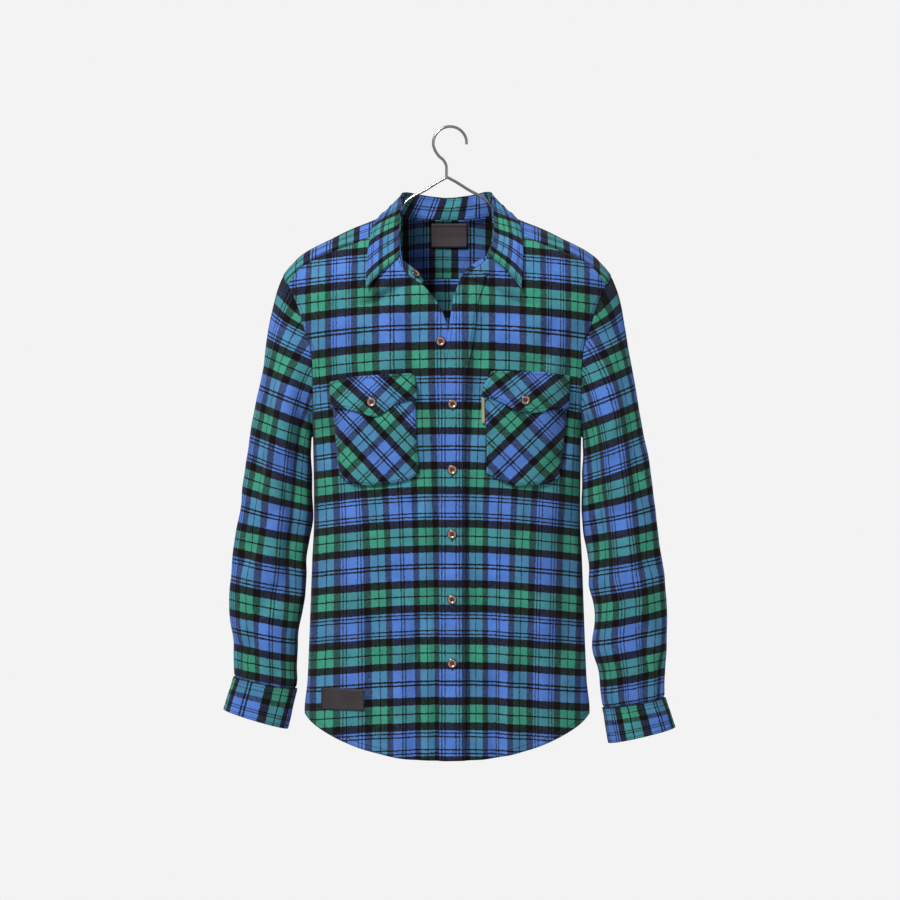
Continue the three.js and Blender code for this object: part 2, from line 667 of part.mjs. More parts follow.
// Collar, from left round the back to right: its neckline, the stand's top and the leaf's edge.
const neckEdge = (side) => frontRows[side].slice(LOWER_ROWS + NECK_ROW[side])
  .map((row) => row[side === 'left' ? FRONT_COLUMNS : 0]);
const neckline = new THREE.CurvePath();
[
  ...neckEdge('left'),
  ...yokeColumns.slice(FRONT_COLUMNS + 1, -FRONT_COLUMNS - 1).map((line) => line[0]),
  ...neckEdge('right').reverse(),
].forEach((place, i, places) => {
  if (i > 0) neckline.add(new THREE.LineCurve3(places[i - 1], place));
});
const STAND_TOP = table(['share', 'x', 'y', 'z'], [
  [0, -31, -58, -216],
  [0.04, -46, -60, -198],
  [0.075, -62, -64, -184],
  [0.16, -63.5, -45, -148],
  [0.26, -62, -12, -106],
  [0.3, -60, 8, -91],
  [0.36, -52, 32, -87.5],
  [0.43, -30, 50, -90],
  [0.5, 0, 57.5, -92.5],
  [0.57, 30, 50, -90],
  [0.64, 51, 32, -87],
  [0.7, 59, 8, -90],
  [0.75, 61, -12, -106],
  [0.84, 62, -44, -146],
  [0.94, 54, -65, -181],
  [0.97, 40, -62, -190],
  [1, 25, -60, -200],
]);
const LEAF_EDGE = table(['share', 'x', 'y', 'z'], [
  [0, -108, -84, -227],
  [0.09, -106, -60, -180],
  [0.18, -99, -30, -138],
  [0.26, -87, 0, -120],
  [0.35, -80, 30, -118],
  [0.43, -48, 58, -127],
  [0.5, 0, 70, -133],
  [0.57, 48, 58, -127],
  [0.65, 80, 30, -118],
  [0.74, 87, 0, -120],
  [0.82, 97, -30, -134],
  [0.91, 101.5, -58, -178],
  [1, 98.5, -84, -226],
]);
const COLLAR_COLUMNS = 24;
const LEAF_ENDS = [0.075, 0.94];
const STAND_CLEAR = 2.4;
const onTable = (rule, share) => point(AXIS + rule.x(share), rule.y(share), rule.z(share));

function standPoint(share, up, lift = 0) {
  const foot = neckline.getPointAt(share);
  const top = onTable(STAND_TOP, share);
  const rise = top.clone().sub(foot);
  const along = neckline.getTangentAt(share);
  const height = rise.length();
  const placed = foot.addScaledVector(rise, lerp(STAND_CLEAR, height - CLOTH, up) / height);
  return placed.addScaledVector(along.cross(rise).normalize(), -lift);
}
shirt.add(clothWall('collar_stand', PLAID_GREEN,
  patchRows(COLLAR_COLUMNS, 2, (across, up) => standPoint(across, up)), { flip: true }));

// Lifts a point until it lies clear of the filled garment.
function restOn(p, gap) {
  const outside = (x, y, z) =>
    (Math.abs(x - AXIS) / BODY.half(z)) ** ROUNDNESS
    + (Math.abs(y) / BODY[y < 0 ? 'front' : 'back'](z)) ** ROUNDNESS;
  for (let i = 0; i < 6; i += 1) {
    const here = outside(p.x, p.y, p.z);
    const slope = point(outside(p.x + 0.5, p.y, p.z) - outside(p.x - 0.5, p.y, p.z),
      outside(p.x, p.y + 0.5, p.z) - outside(p.x, p.y - 0.5, p.z),
      outside(p.x, p.y, p.z + 0.5) - outside(p.x, p.y, p.z - 0.5));
    const distance = (here - 1) / slope.length();
    if (distance < gap) p.addScaledVector(slope.normalize(), gap - distance);
  }
  return p;
}

// The leaf rolls out from the stand, and lies straighter over the shoulders.
const LEAF = { clear: 2, bulge: 5, roll: 0.8, shoulder: 0.26, reach: 0.14, rest: 2.6 };
const NECK_CENTRE_Y = -12;
function leafPoint(share, down) {
  const inner = onTable(STAND_TOP, lerp(...LEAF_ENDS, share));
  const outer = onTable(LEAF_EDGE, share);
  const away = point(inner.x - AXIS, inner.y - NECK_CENTRE_Y, 0).normalize();
  const fromShoulder = Math.abs(Math.min(share, 1 - share) - LEAF.shoulder) / LEAF.reach;
  const bulge = LEAF.bulge * ease(fromShoulder) * Math.sin(Math.PI * down) ** LEAF.roll;
  const placed = inner.clone().lerp(outer, down).addScaledVector(away, LEAF.clear + bulge);
  return restOn(placed, LEAF.rest);
}
shirt.add(clothWall('collar_leaf', PLAID,
  patchRows(COLLAR_COLUMNS, 5, (across, down) => leafPoint(across, down))));

const LABEL_DEEP = 3.4;
const LABEL_THICK = 1;

// Labels: a blank neck label inside the yoke, a blank patch at the hem and a blank tab at a pocket.
const blank = (face, x0, x1, z0, z1, columns, lift) =>
  patchRows(columns, 2, (across, up) => onBody(face, lerp(x0, x1, across), lerp(z0, z1, up), lift));
shirt.add(clothWall('neck_label', LABEL,
  blank('back', -22, 28, -160, -126.5, 4, -LABEL_DEEP), { flip: true, thick: LABEL_THICK }));
shirt.add(clothWall('hem_patch', LABEL,
  blank('front', -170, -112, -797, -768, 4, LAYER + 0.6), { thick: LABEL_THICK }));
shirt.add(clothWall('pocket_tab', TAPE,
  blank('front', 48.4, 52.2, -409, -374, 1, panelClear(50)), { thick: LABEL_THICK }));

// Buttons: a disc with four holes, its back on the cloth and its face outwards.
const disc = new THREE.Shape(Array.from({ length: BUTTON.sides }, (_, i) => {
  const angle = (2 * Math.PI * i) / BUTTON.sides;
  return new THREE.Vector2(Math.cos(angle), Math.sin(angle)).multiplyScalar(BUTTON.radius);
}));
for (const [x, y] of [[-1, -1], [1, -1], [1, 1], [-1, 1]]) {
  const hole = new THREE.Path();
  hole.absarc(x * BUTTON.holeSpacing, y * BUTTON.holeSpacing, BUTTON.holeRadius, 0, 2 * Math.PI);
  disc.holes.push(hole);
}
function addButton(name, place, out) {
  const geometry = new THREE.ExtrudeGeometry(disc,
    { depth: BUTTON.thick, bevelEnabled: false, curveSegments: 4 });
  const material = new THREE.MeshStandardMaterial({ color: HORN, roughness: 0.4 });
  const mesh = new THREE.Mesh(geometry, material);
  mesh.name = name;
  mesh.quaternion.setFromUnitVectors(point(0, 0, 1), out);
  mesh.position.copy(place).addScaledVector(out, SEAM);
  shirt.add(mesh);
}
const onFront = (name, x, z, lift) =>
  addButton(name, onBody('front', x, z, lift + CLOTH / 2), bodyNormal('front', x, z));
BUTTON_HEIGHTS.forEach((z, i) => onFront(`front_button_${i + 2}`, 7.2, z, LAYER));
onFront('front_button_1', -8.5, -298, SEAM - UNDER_LAP);
for (const [side, x, z] of [['left', -101, -379.5], ['right', 104, -376]]) {
  onFront(`flap_button_${side}`, x, z, panelClear(x) + FLAP_LIFT + pocketPuff(side, x, z));
}

// Sleeve plackets: a strip over the slit at the back of each sleeve, above the cuff.
const PLACKET_COLUMN = 19;
for (const side of ['left', 'right']) {
  const strip = sleeves[side].slice(-5).map((row) => row.slice(PLACKET_COLUMN, PLACKET_COLUMN + 3));
  shirt.add(clothWall(`sleeve_placket_${side}`, PLAID_GREEN, movedOut(strip, -LAYER), { flip: true }));
}

// Buttons of the collar stand and the cuffs.
const outOf = (rule, a, b) => {
  const here = rule(a, b, 0);
  return rule(a, b, 1).sub(here).normalize();
};
const COLLAR_BUTTON = { share: 0.032, up: 0.5, lift: 1.8 };
addButton('collar_button', standPoint(COLLAR_BUTTON.share, COLLAR_BUTTON.up, COLLAR_BUTTON.lift),
  outOf(standPoint, COLLAR_BUTTON.share, COLLAR_BUTTON.up));
for (const name of ['left', 'right']) {
  const turn = CUFF_START + CUFF_LAP * 0.45 + 1;
  addButton(`cuff_button_${name}`, cuffPoint(name, turn, 0.5, CUFF_SPIRAL + 0.7 + CLOTH / 2),
    outOf((a, b, lift) => cuffPoint(name, a, b, lift), turn, 0.5));
}

// Hanger: a hook and a pair of sloping arms of round wire, joined under the hook.
const wireSection = new THREE.Shape(Array.from({ length: WIRE_SIDES }, (_, i) => {
  const angle = (2 * Math.PI * i) / WIRE_SIDES;
  return new THREE.Vector2(Math.cos(angle), Math.sin(angle)).multiplyScalar(WIRE / 2);
}));
function wire(places, steps) {
  const path = new THREE.CatmullRomCurve3(places.map(([x, z]) => point(x, 0, z)));
  return new THREE.ExtrudeGeometry(wireSection, { steps, extrudePath: path });
}
const HOOK_CENTRE = WIRE / 2 - HOOK_RADIUS;
const bend = Array.from({ length: 14 }, (_, i) => {
  const angle = THREE.MathUtils.degToRad(-4 + 15 * i);
  return [HOOK_RADIUS * Math.cos(angle), HOOK_CENTRE + HOOK_RADIUS * Math.sin(angle)];
});
const hook = wire([...bend, [-16, -38], [-9, -44.5], [-5.2, -52], [-4.8, -60], [-4.8, -69]], 44);
const ARM_HALF = [
  [6, -71],
  [30, -85.5],
  [54, -99.5],
  [60, -106.5],
  [64.5, -117],
  [69, -124.5],
  [77, -130.5],
  [91, -134],
  [106, -138],
  [125, -145.5],
  [143, -153.5],
  [160, -162],
  [177, -170.5],
  [192, -179],
  [204, -187.5],
];
const arms = wire([
  ...ARM_HALF.map(([x, z]) => [AXIS - x, z]).reverse(),
  [AXIS, -68.5],
  ...ARM_HALF.map(([x, z]) => [AXIS + x, z]),
], 60);

function toManifold(geometry) {
  const bare = geometry.clone();
  bare.deleteAttribute('normal');
  bare.deleteAttribute('uv');
  const merged = mergeVertices(bare, 1e-4);
  return new manifold.Manifold(new manifold.Mesh({
    numProp: 3,
    vertProperties: new Float32Array(merged.attributes.position.array),
    triVerts: new Uint32Array(merged.index.array),
  }));
}
const joined = toManifold(hook).add(toManifold(arms)).getMesh();
const hangerPoints = Array.from({ length: joined.vertProperties.length / joined.numProp }, (_, i) =>
  point(...joined.vertProperties.slice(i * joined.numProp, i * joined.numProp + 3)));
shirt.add(solid('hanger', CHROME, hangerPoints, [...joined.triVerts],
  { roughness: 0.15, metalness: 1 }));

export default shirt;
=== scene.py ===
# %% [markdown]
# # A flannel shirt on a wire hanger
# The shirt hangs filled out, as if worn by air, with its neck open. It is modelled the way it is
# sewn: each cut piece of cloth is its own thin sheet, laid on one shared form of the body. The form
# is worked out in millimetres and turned to metres when a piece is made.

# %% Load the frame
import math
from bisect import bisect_right
from types import SimpleNamespace

import bmesh
import bpy
from mathutils import Matrix, Vector, noise


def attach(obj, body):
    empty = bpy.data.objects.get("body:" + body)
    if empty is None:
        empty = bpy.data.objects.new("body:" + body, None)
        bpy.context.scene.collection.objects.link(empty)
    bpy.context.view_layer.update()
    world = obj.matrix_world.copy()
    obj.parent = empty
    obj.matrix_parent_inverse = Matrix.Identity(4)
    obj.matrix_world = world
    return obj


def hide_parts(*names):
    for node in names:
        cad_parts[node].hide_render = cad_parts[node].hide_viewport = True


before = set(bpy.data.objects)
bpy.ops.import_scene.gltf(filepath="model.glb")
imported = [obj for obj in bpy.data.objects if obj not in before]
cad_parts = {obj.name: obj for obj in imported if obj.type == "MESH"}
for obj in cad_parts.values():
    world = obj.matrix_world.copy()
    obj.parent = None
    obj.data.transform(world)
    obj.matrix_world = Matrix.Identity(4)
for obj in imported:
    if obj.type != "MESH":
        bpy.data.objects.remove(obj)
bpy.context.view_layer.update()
MM = 0.001
print("frame", len(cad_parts), "nodes")

# %% [markdown]
# ## Camera, floor and light
# The picture is taken level with the chest from a few metres away, so the lens is long. The floor
# lies well below the hem. A pale surround gives even light, and a large lamp from the upper left
# gives the folds their soft shade.

# %% Camera
CAMERA_DISTANCE = 3.6
CAMERA_HEIGHT = -0.4444
VIEW_WIDTH = 1.242
camera_data = bpy.data.cameras.new("camera")
camera_data.sensor_width = 36
camera_data.lens = 36 * CAMERA_DISTANCE / VIEW_WIDTH
camera = bpy.data.objects.new("camera", camera_data)
camera.location = (0, -CAMERA_DISTANCE, CAMERA_HEIGHT)
camera.rotation_euler = (math.radians(90), 0, 0)
bpy.context.collection.objects.link(camera)
bpy.context.scene.camera = camera
bpy.context.scene.view_settings.view_transform = "Standard"
print("lens", round(camera_data.lens, 1), "mm")


# %% Colours and nodes
def linear(hex_colour):
    """sRGB hex to linear RGBA."""
    parts = [int(hex_colour[i:i + 2], 16) / 255 for i in (1, 3, 5)]
    return (*[c / 12.92 if c <= 0.04045 else ((c + 0.055) / 1.055) ** 2.4 for c in parts], 1.0)


def add_node(tree, kind, inputs=None, **settings):
    """Adds a node. An input is given a socket to link from, or else a value."""
    made = tree.nodes.new(kind)
    for name, value in settings.items():
        setattr(made, name, value)
    for name, value in (inputs or {}).items():
        if isinstance(value, bpy.types.NodeSocket):
            tree.links.new(value, made.inputs[name])
        else:
            made.inputs[name].default_value = value
    return made


def new_material(name):
    made = bpy.data.materials.new(name)
    made.use_nodes = True
    made.node_tree.nodes.clear()
    return made, made.node_tree


def finish_material(tree, colour, roughness, **others):
    """Others are inputs of the surface, with _ for a space in their names."""
    inputs = {"Base Color": colour, "Roughness": roughness}
    inputs.update((name.replace("_", " "), value) for name, value in others.items())
    surface = add_node(tree, "ShaderNodeBsdfPrincipled", inputs)
    add_node(tree, "ShaderNodeOutputMaterial", {"Surface": surface.outputs[0]})


def maths(tree, operation, *values):
    return add_node(tree, "ShaderNodeMath", dict(enumerate(values)),
                    operation=operation).outputs[0]


def vector_maths(tree, operation, *values):
    return add_node(tree, "ShaderNodeVectorMath", dict(enumerate(values)),
                    operation=operation).outputs[0]


def scale_colour(tree, colour, factor):
    return add_node(tree, "ShaderNodeVectorMath", {0: colour, "Scale": factor},
                    operation="SCALE").outputs[0]


def remap(tree, value, from_low, from_high, to_low, to_high):
    return add_node(tree, "ShaderNodeMapRange", {
        "Value": value, "From Min": from_low, "From Max": from_high,
        "To Min": to_low, "To Max": to_high}).outputs[0]


def own_space(tree):
    return add_node(tree, "ShaderNodeTexCoord").outputs["Object"]


def grain(tree, scale, detail, output="Fac"):
    """Noise in the object's own space."""
    return add_node(tree, "ShaderNodeTexNoise", {
        "Vector": own_space(tree), "Scale": scale, "Detail": detail}).outputs[output]


def rough_surface(tree, height, strength, distance):
    return add_node(tree, "ShaderNodeBump", {
        "Height": height, "Strength": strength, "Distance": distance}).outputs[0]


# %% Surround and lamps
world = bpy.data.worlds.new("studio")
world.use_nodes = True
world.node_tree.nodes["Background"].inputs["Color"].default_value = linear("#f3f3f3")
bpy.context.scene.world = world


def lamp(name, place, aim, size, power):
    data = bpy.data.lights.new(name, "AREA")
    data.shape = "DISK"
    data.size = size
    data.energy = power
    made = bpy.data.objects.new(name, data)
    made.location = place
    made.rotation_euler = (Vector(aim) - Vector(place)).to_track_quat("-Z", "Y").to_euler()
    bpy.context.collection.objects.link(made)


lamp("key", (-1.3, -2.3, 1.7), (0, 0, -0.4), 1.0, 290)
lamp("fill", (2.2, -1.6, 0.2), (0, 0, -0.5), 1.4, 14)

# %% Floor
FLOOR_HEIGHT = -1.5
mesh = bmesh.new()
bmesh.ops.create_grid(mesh, x_segments=2, y_segments=2, size=1.5)
bmesh.ops.translate(mesh, verts=mesh.verts, vec=(0, 0, FLOOR_HEIGHT))
floor_mesh = bpy.data.meshes.new("floor")
mesh.to_mesh(floor_mesh)
mesh.free()
floor = bpy.data.objects.new("floor", floor_mesh)
bpy.context.collection.objects.link(floor)
# Matt white paint.
paint, tree = new_material("matt_floor_paint")
finish_material(tree, linear("#e8e8e6"), 0.8)
floor_mesh.materials.append(paint)


# %% [markdown]
# ## Curves from short tables
# Every size of the garment is a named column of a short table, and a smooth curve runs through it.
# The curve never overshoots, so a seam stays where it was measured.

# %% Curves
def clamp(t):
    return min(1.0, max(0.0, t))


def ease(t):
    t = clamp(t)
    return t * t * (3 - 2 * t)


def lerp(a, b, t):
    return a + (b - a) * t


def bump(t):
    """A soft hump, 1 at the middle and gone two widths away."""
    return math.exp(-t * t) if abs(t) < 3 else 0.0


def smooth_curve(keys, values):
    steps = [b - a for a, b in zip(keys, keys[1:])]
    slopes = [(b - a) / s for a, b, s in zip(values, values[1:], steps)]
    middle = [0 if a * b <= 0 else 2 * a * b / (a + b) for a, b in zip(slopes, slopes[1:])]
    tangents = [slopes[0], *middle, slopes[-1]]

    def curve(key):
        if key <= keys[0]:
            return values[0]
        if key >= keys[-1]:
            return values[-1]
        i = bisect_right(keys, key) - 1
        t = (key - keys[i]) / steps[i]
        rise = values[i + 1] - values[i]
        bend = (1 - t) * (tangents[i] * steps[i] - rise) - t * (tangents[i + 1] * steps[i] - rise)
        return values[i] + rise * t + t * (1 - t) * bend
    return curve


def table(columns, rows):
    """The first column is the key, and each other column becomes a curve over it."""
    rows = sorted(rows)
    keys = [row[0] for row in rows]
    return SimpleNamespace(**{name: smooth_curve(keys, [row[i + 1] for row in rows])
                              for i, name in enumerate(columns.split()[1:])})


def solve(low, high, rises):
    """Where a rising function crosses zero."""
    for _ in range(24):
        middle = (low + high) / 2
        if rises(middle) > 0:
            high = middle
        else:
            low = middle
    return (low + high) / 2


# %% [markdown]
# ## The form of the filled body
# The body is one rounded tube. A row gives its half width and how far it stands before and behind
# the hanger at one height. The panels, the yoke, the pockets and the collar all rest on it.

# %% Body form
CLOTH = 1.2
LAYER = 1.5
UNDER_LAP = 2.3
AXIS = -4
ROUNDNESS = 2.3
RING_WIDE, RING_DEEP = 188, 82
UNDERARM = -425
HIGHEST, LOWEST = -120, -900
SHOULDER_Z = -222
SHOULDER_HALF = 231
SIGN = {"front": -1, "back": 1}
WAY = {"left": -1, "right": 1}

BODY = table("z half front back", [
    (-84, 20, 1, 2), (-96, 44, 2, 4), (-106, 62, 5, 16), (-111, 73, 9, 28), (-117, 82, 15, 38),
    (-123, 91, 22, 47), (-127, 98, 26, 52), (-130.5, 106, 30, 55), (-138, 125, 37, 58),
    (-146, 143, 43, 61), (-155, 160.5, 49, 63), (-163, 177, 55, 65), (-171, 192, 60, 67),
    (-180, 204.5, 64, 69), (-188, 212, 69, 70), (-196, 219.5, 73, 71), (-204, 225.5, 76, 72),
    (-212, 230, 79, 73), (SHOULDER_Z, SHOULDER_HALF, 82, 73), (-250, 228, 86, 74),
    (-280, 220, 87, 75), (-301, 214, 87, 75), (-325, 208, 87, 75), (-380, 195, 86, 74),
    (-410, 188, 85, 73), (UNDERARM, 184.5, 84, 72), (-541, 183, 80, 68), (-596, 185.5, 79, 67),
    (-651, 187.5, 78, 66), (-706, 189.5, 78, 66), (-762, 192, 80, 68), (-803, 196, 82, 70),
    (-880, 196, 83, 71),
])
ARMHOLE = table("z front back", [
    (UNDERARM, 184.5, 184.5), (-418, 184.1, 184.1), (-405, 183.7, 183.8), (-380, 183.3, 184),
    (-340, 183, 187), (-310, 185, 194), (-280, 194, 204), (-250, 203, 216), (-218, 217, 223),
])
YOKE_SEAM = table("x z", [
    (70, -140), (100, -152), (134, -165.5), (183, -185), (205, -201), (217, -218),
])
HEM = table("x front back", [
    (0, -864, -872), (45, -862.6, -871), (108, -851, -860), (143, -839, -846),
    (168, -827, -832), (184, -817, -820), (196, -806, -806),
])
FRONT_EDGE = {
    "left": table("z x", [
        (-140, -70), (-160, -71), (-180, -68.5), (-200, -59), (-214, -44), (-223.5, -31),
        (-241, -16), (-257, -6.7), (-276, 0), (-303, 8), (-343, 16), (-390, 21), (-450, 23),
        (-880, 23),
    ]),
    "right": table("z x", [
        (-140, 70), (-160, 67), (-176, 61), (-190, 50), (-200, 36), (-206, 22), (-226, 13.5),
        (-242, 8), (-272, 4), (-290, 1.4), (-312, -2.6), (-343, -8), (-377, -9.4), (-444, -10),
        (-880, -10),
    ]),
}
NECK_CORNER = {"left": -223.5, "right": -206}


def quarter_ring(steps=240):
    """Even steps along a quarter of the rounded section: x as a share, and the run so far."""
    places = [(0.0, 0.0)]
    before = (0, RING_DEEP)
    for i in range(1, steps + 1):
        angle = i / steps * math.pi / 2
        x = math.sin(angle) ** (2 / ROUNDNESS)
        here = (x * RING_WIDE, math.cos(angle) ** (2 / ROUNDNESS) * RING_DEEP)
        places.append((x, places[-1][1] + math.dist(before, here)))
        before = here
    return [p[0] for p in places], [p[1] for p in places]


RING_X, RING_RUN = quarter_ring()
QUARTER_RUN = RING_RUN[-1]


def between(keys, values, key):
    i = min(len(keys) - 2, max(0, bisect_right(keys, key) - 1))
    return lerp(values[i], values[i + 1], clamp((key - keys[i]) / (keys[i + 1] - keys[i])))


def across_at(share):
    return math.copysign(between(RING_RUN, RING_X, abs(share) * QUARTER_RUN), share)


def share_at(across):
    return math.copysign(between(RING_X, RING_RUN, abs(across)) / QUARTER_RUN, across)


def spread(z):
    return SHOULDER_HALF if z > SHOULDER_Z else BODY.half(z)


def outside(face, x, y, z):
    """1 on the rounded body, less inside it and more outside."""
    return (abs(x) / BODY.half(z)) ** ROUNDNESS + (abs(y) / getattr(BODY, face)(z)) ** ROUNDNESS


def profile_at(x, z):
    """The body's depth at x, as a share of its depth in the middle."""
    return (1 - clamp(abs(x) / BODY.half(z)) ** ROUNDNESS) ** (1 / ROUNDNESS)


def runs_of(points):
    """The length of a line so far, at each of its points."""
    runs = [0.0]
    for here, after in zip(points, points[1:]):
        runs.append(runs[-1] + (after - here).length)
    return runs


def point_at(points, runs, share):
    run = share * runs[-1]
    i = min(len(points) - 2, max(0, bisect_right(runs, run) - 1))
    return points[i].lerp(points[i + 1], (run - runs[i]) / (runs[i + 1] - runs[i]))


print("quarter of the ring", round(QUARTER_RUN), "mm")

# %% [markdown]
# ## Folds
# Cloth this heavy falls in a few long soft folds, and pulls in short ones at the armholes, between
# the buttons and above the hem. Each is a trough or a ridge from one place to another. Two sizes of
# gentle noise stand for the crumples that are too small to name.

# %% Folds of the body
FOLD_COLUMNS = "x0 z0 x1 z1 width height".split()  # from one place to another
FOLD_ROWS = {
    "front": [
        (60, -545, 66, -900, 13, -8),
        (84, -600, 88, -900, 13, 5),
        (-158, -450, -160, -760, 13, -7),
        (-120, -520, -128, -800, 14, 4),
        (158, -500, 164, -760, 14, -6),
        (126, -520, 130, -880, 14, 4),
        (-60, -640, -76, -900, 20, 4),
        (-36, -600, -42, -900, 11, -4),
        (-174, -260, -150, -480, 15, -8),
        (-150, -260, -122, -352, 12, -5),
        (174, -260, 150, -490, 15, -8),
        (150, -250, 122, -345, 12, -5),
        (-30, -206, -112, -254, 17, -10),
        (24, -206, 106, -254, 17, -10),
        (-62, -228, -20, -430, 13, -9),
        (-96, -250, -70, -350, 13, 4),
        (52, -228, 36, -440, 11, -7),
        (-15, -330, -15, -905, 6, -4.5),
        (33, -380, 33, -905, 7, -3),
        (16, -420, 16, -905, 13, 2.5),
        (-24, -420, -44, -540, 10, -4),
        (36, -470, 62, -620, 11, -6),
        (40, -600, 52, -720, 10, -4),
        (-28, -640, -50, -760, 10, -4),
        (-130, -480, -96, -560, 11, -3.5),
        (132, -480, 100, -570, 11, -3.5),
        (20, -700, 48, -800, 9, -3.5),
        (-70, -200, -110, -300, 14, -3),
        (84, -200, 120, -300, 14, -3),
    ],
    "back": [
        (-95, -330, -70, -900, 24, -8),
        (90, -360, 74, -900, 22, -8),
        (4, -300, 8, -900, 30, 5),
        (-150, -500, -130, -880, 16, -5),
        (148, -540, 136, -880, 16, -5),
        (-180, -320, -110, -440, 15, -4),
        (180, -330, 104, -450, 15, -4),
        (-40, -260, -30, -420, 14, -3),
        (46, -250, 30, -430, 14, -3),
    ],
}
FOLDS = {face: [SimpleNamespace(**dict(zip(FOLD_COLUMNS, row))) for row in rows]
         for face, rows in FOLD_ROWS.items()}

CRUMPLES = [(62, 3.0), (26, 1.3)]  # size and height
FACE_APART = 200  # keeps the crumples of the back apart from those of the front
FOLD_START, FOLD_END = 3, 6  # how soon a fold begins at its top, and ends at its foot


def crumple(x, y, z):
    """The height of the crumples at a place, in mm."""
    return sum(height * noise.noise(Vector((x / size, y / size, z / size)))
               for size, height in CRUMPLES)


def relief(face, x, z):
    total = crumple(x, FACE_APART * SIGN[face], z)
    for f in FOLDS[face]:
        along = (f.z0 - z) / (f.z0 - f.z1)
        if 0 < along < 1:
            across = (x - lerp(f.x0, f.x1, along)) / f.width
            if abs(across) < 3:
                ends = ease(along * FOLD_START) * ease((1 - along) * FOLD_END)
                total += f.height * bump(across) * ends
    return total


def body_point(face, x, z):
    profile = profile_at(x, z)
    depth = profile * getattr(BODY, face)(z) + relief(face, x, z) * min(1, profile * 2)
    return Vector((AXIS + x, SIGN[face] * depth, z))


def body_normal(face, x, z, step=1.0):
    along_x = body_point(face, x + step, z) - body_point(face, x - step, z)
    along_z = body_point(face, x, z + step) - body_point(face, x, z - step)
    return (along_x.cross(along_z) * -SIGN[face]).normalized()


def on_body(face, x, z, lift):
    return body_point(face, x, z) + body_normal(face, x, z) * lift


# %% [markdown]
# ## The tartan
# Brushed cotton flannel, woven in twill from dyed threads. The same order of stripes runs along the
# cloth and across it: a broad blue, black, green with a fine dark line, black, and a blue with two
# pairs of fine lines. Where two colours cross, the threads mix by eye and look darker than their
# average. Each piece carries a UV map in metres of cloth, so the stripes follow its cut.

# %% Stripes of the cloth
BLUE, BLACK, GREEN = "#345086", "#080506", "#25604f"
STRIPES = [  # colour and width in mm of one repeat
    (BLUE, 15.3), (BLACK, 2.1), (BLUE, 3.0), (BLACK, 2.1), (BLUE, 15.3), (BLACK, 10.8),
    (GREEN, 11.0), (BLACK, 2.1), (GREEN, 11.0), (BLACK, 10.8),
    (BLUE, 2.5), (BLACK, 2.1), (BLUE, 3.0), (BLACK, 2.1), (BLUE, 15.0), (BLACK, 2.1),
    (BLUE, 3.0), (BLACK, 2.1), (BLUE, 2.5), (BLACK, 10.8),
    (GREEN, 11.0), (BLACK, 2.1), (GREEN, 11.0), (BLACK, 10.8),
]
REPEAT = sum(width for _, width in STRIPES)
WARP_SHARE = 0.86  # the cloth's stripes are this much narrower along its length
BROAD_BLUE = 18.9  # middle of the broad blue from the start of the repeat
FIRST_GREEN = 60.65
SECOND_GREEN = 140.75
PAIRED_BLUE = 100.7
THREAD_MIX = 7  # power that threads are mixed by: a higher one makes a crossing darker
STRAY = 0.0022  # metres that a brushed thread strays from its stripe
print("repeat", round(REPEAT, 1), "mm")


# %% Brushed flannel
def stripe_ramp(tree, coordinate, repeat):
    """Colours of one set of threads over a coordinate in metres."""
    turns = maths(tree, "DIVIDE", coordinate, repeat * MM)
    ramp = add_node(tree, "ShaderNodeValToRGB", {"Fac": maths(tree, "FRACT", turns)})
    ramp.color_ramp.interpolation = "CONSTANT"
    start = 0
    for i, (colour, width) in enumerate(STRIPES):
        stops = ramp.color_ramp.elements
        stop = stops[i] if i < 2 else stops.new(start)
        stop.position = start
        stop.color = [c ** (1 / THREAD_MIX) for c in linear(colour)]
        start += width / REPEAT
    return ramp.outputs["Color"]


def flannel(name):
    made, tree = new_material(name)
    uv = add_node(tree, "ShaderNodeUVMap", uv_map="cloth").outputs[0]
    # A little noise moves the stripes' edges, as loose brushed threads do.
    wander = vector_maths(tree, "ADD", grain(tree, 380, 1, "Color"), (-0.5, -0.5, -0.5))
    small = vector_maths(tree, "MULTIPLY", wander, (STRAY, STRAY, 0))
    split = add_node(tree, "ShaderNodeSeparateXYZ", {0: vector_maths(tree, "ADD", uv, small)})
    warp = stripe_ramp(tree, split.outputs["X"], REPEAT * WARP_SHARE)
    weft = stripe_ramp(tree, split.outputs["Y"], REPEAT)
    # Twill ribs. The real ones are 0.7 mm apart, drawn at 2 mm so that they show.
    twill = add_node(tree, "ShaderNodeTexWave", {
        "Vector": uv, "Scale": 222, "Distortion": 1.5, "Detail": 1, "Detail Scale": 0.6},
        bands_direction="DIAGONAL").outputs["Fac"]
    # Flecks where one thread hides the other, about 2 mm across. The crosswise thread shows more.
    flecked = remap(tree, grain(tree, 520, 2), 0.25, 0.75, 0.42, 0.74)
    ribbed = maths(tree, "MULTIPLY_ADD", twill, 0.12, flecked)
    threads = add_node(tree, "ShaderNodeMix",
                       {"Factor": ribbed, "A": warp, "B": weft}, data_type="RGBA")
    mixed = add_node(tree, "ShaderNodeGamma",
                     {"Color": threads.outputs["Result"], "Gamma": THREAD_MIX})
    # The raised nap catches light unevenly, in soft patches and in fine fibres.
    fibre = grain(tree, 900, 2)
    bright = remap(tree, maths(tree, "ADD", grain(tree, 34, 3), fibre), 0.6, 1.4, 0.66, 1.14)
    finish_material(
        tree, scale_colour(tree, mixed.outputs[0], bright), 0.95, Specular_IOR_Level=0.01,
        Sheen_Weight=0.02, Sheen_Roughness=0.6,
        Normal=rough_surface(tree, maths(tree, "ADD", twill, fibre), 0.35, 0.0006))
    return made


FLANNEL = flannel("brushed_cotton_flannel")


# %% [markdown]
# ## Sheets of cloth
# A sheet starts as a flat grid. A rule says where each place of the grid lies on the shirt, and a
# second rule which place of the woven cloth it was cut from. The sheet then gets its thickness.

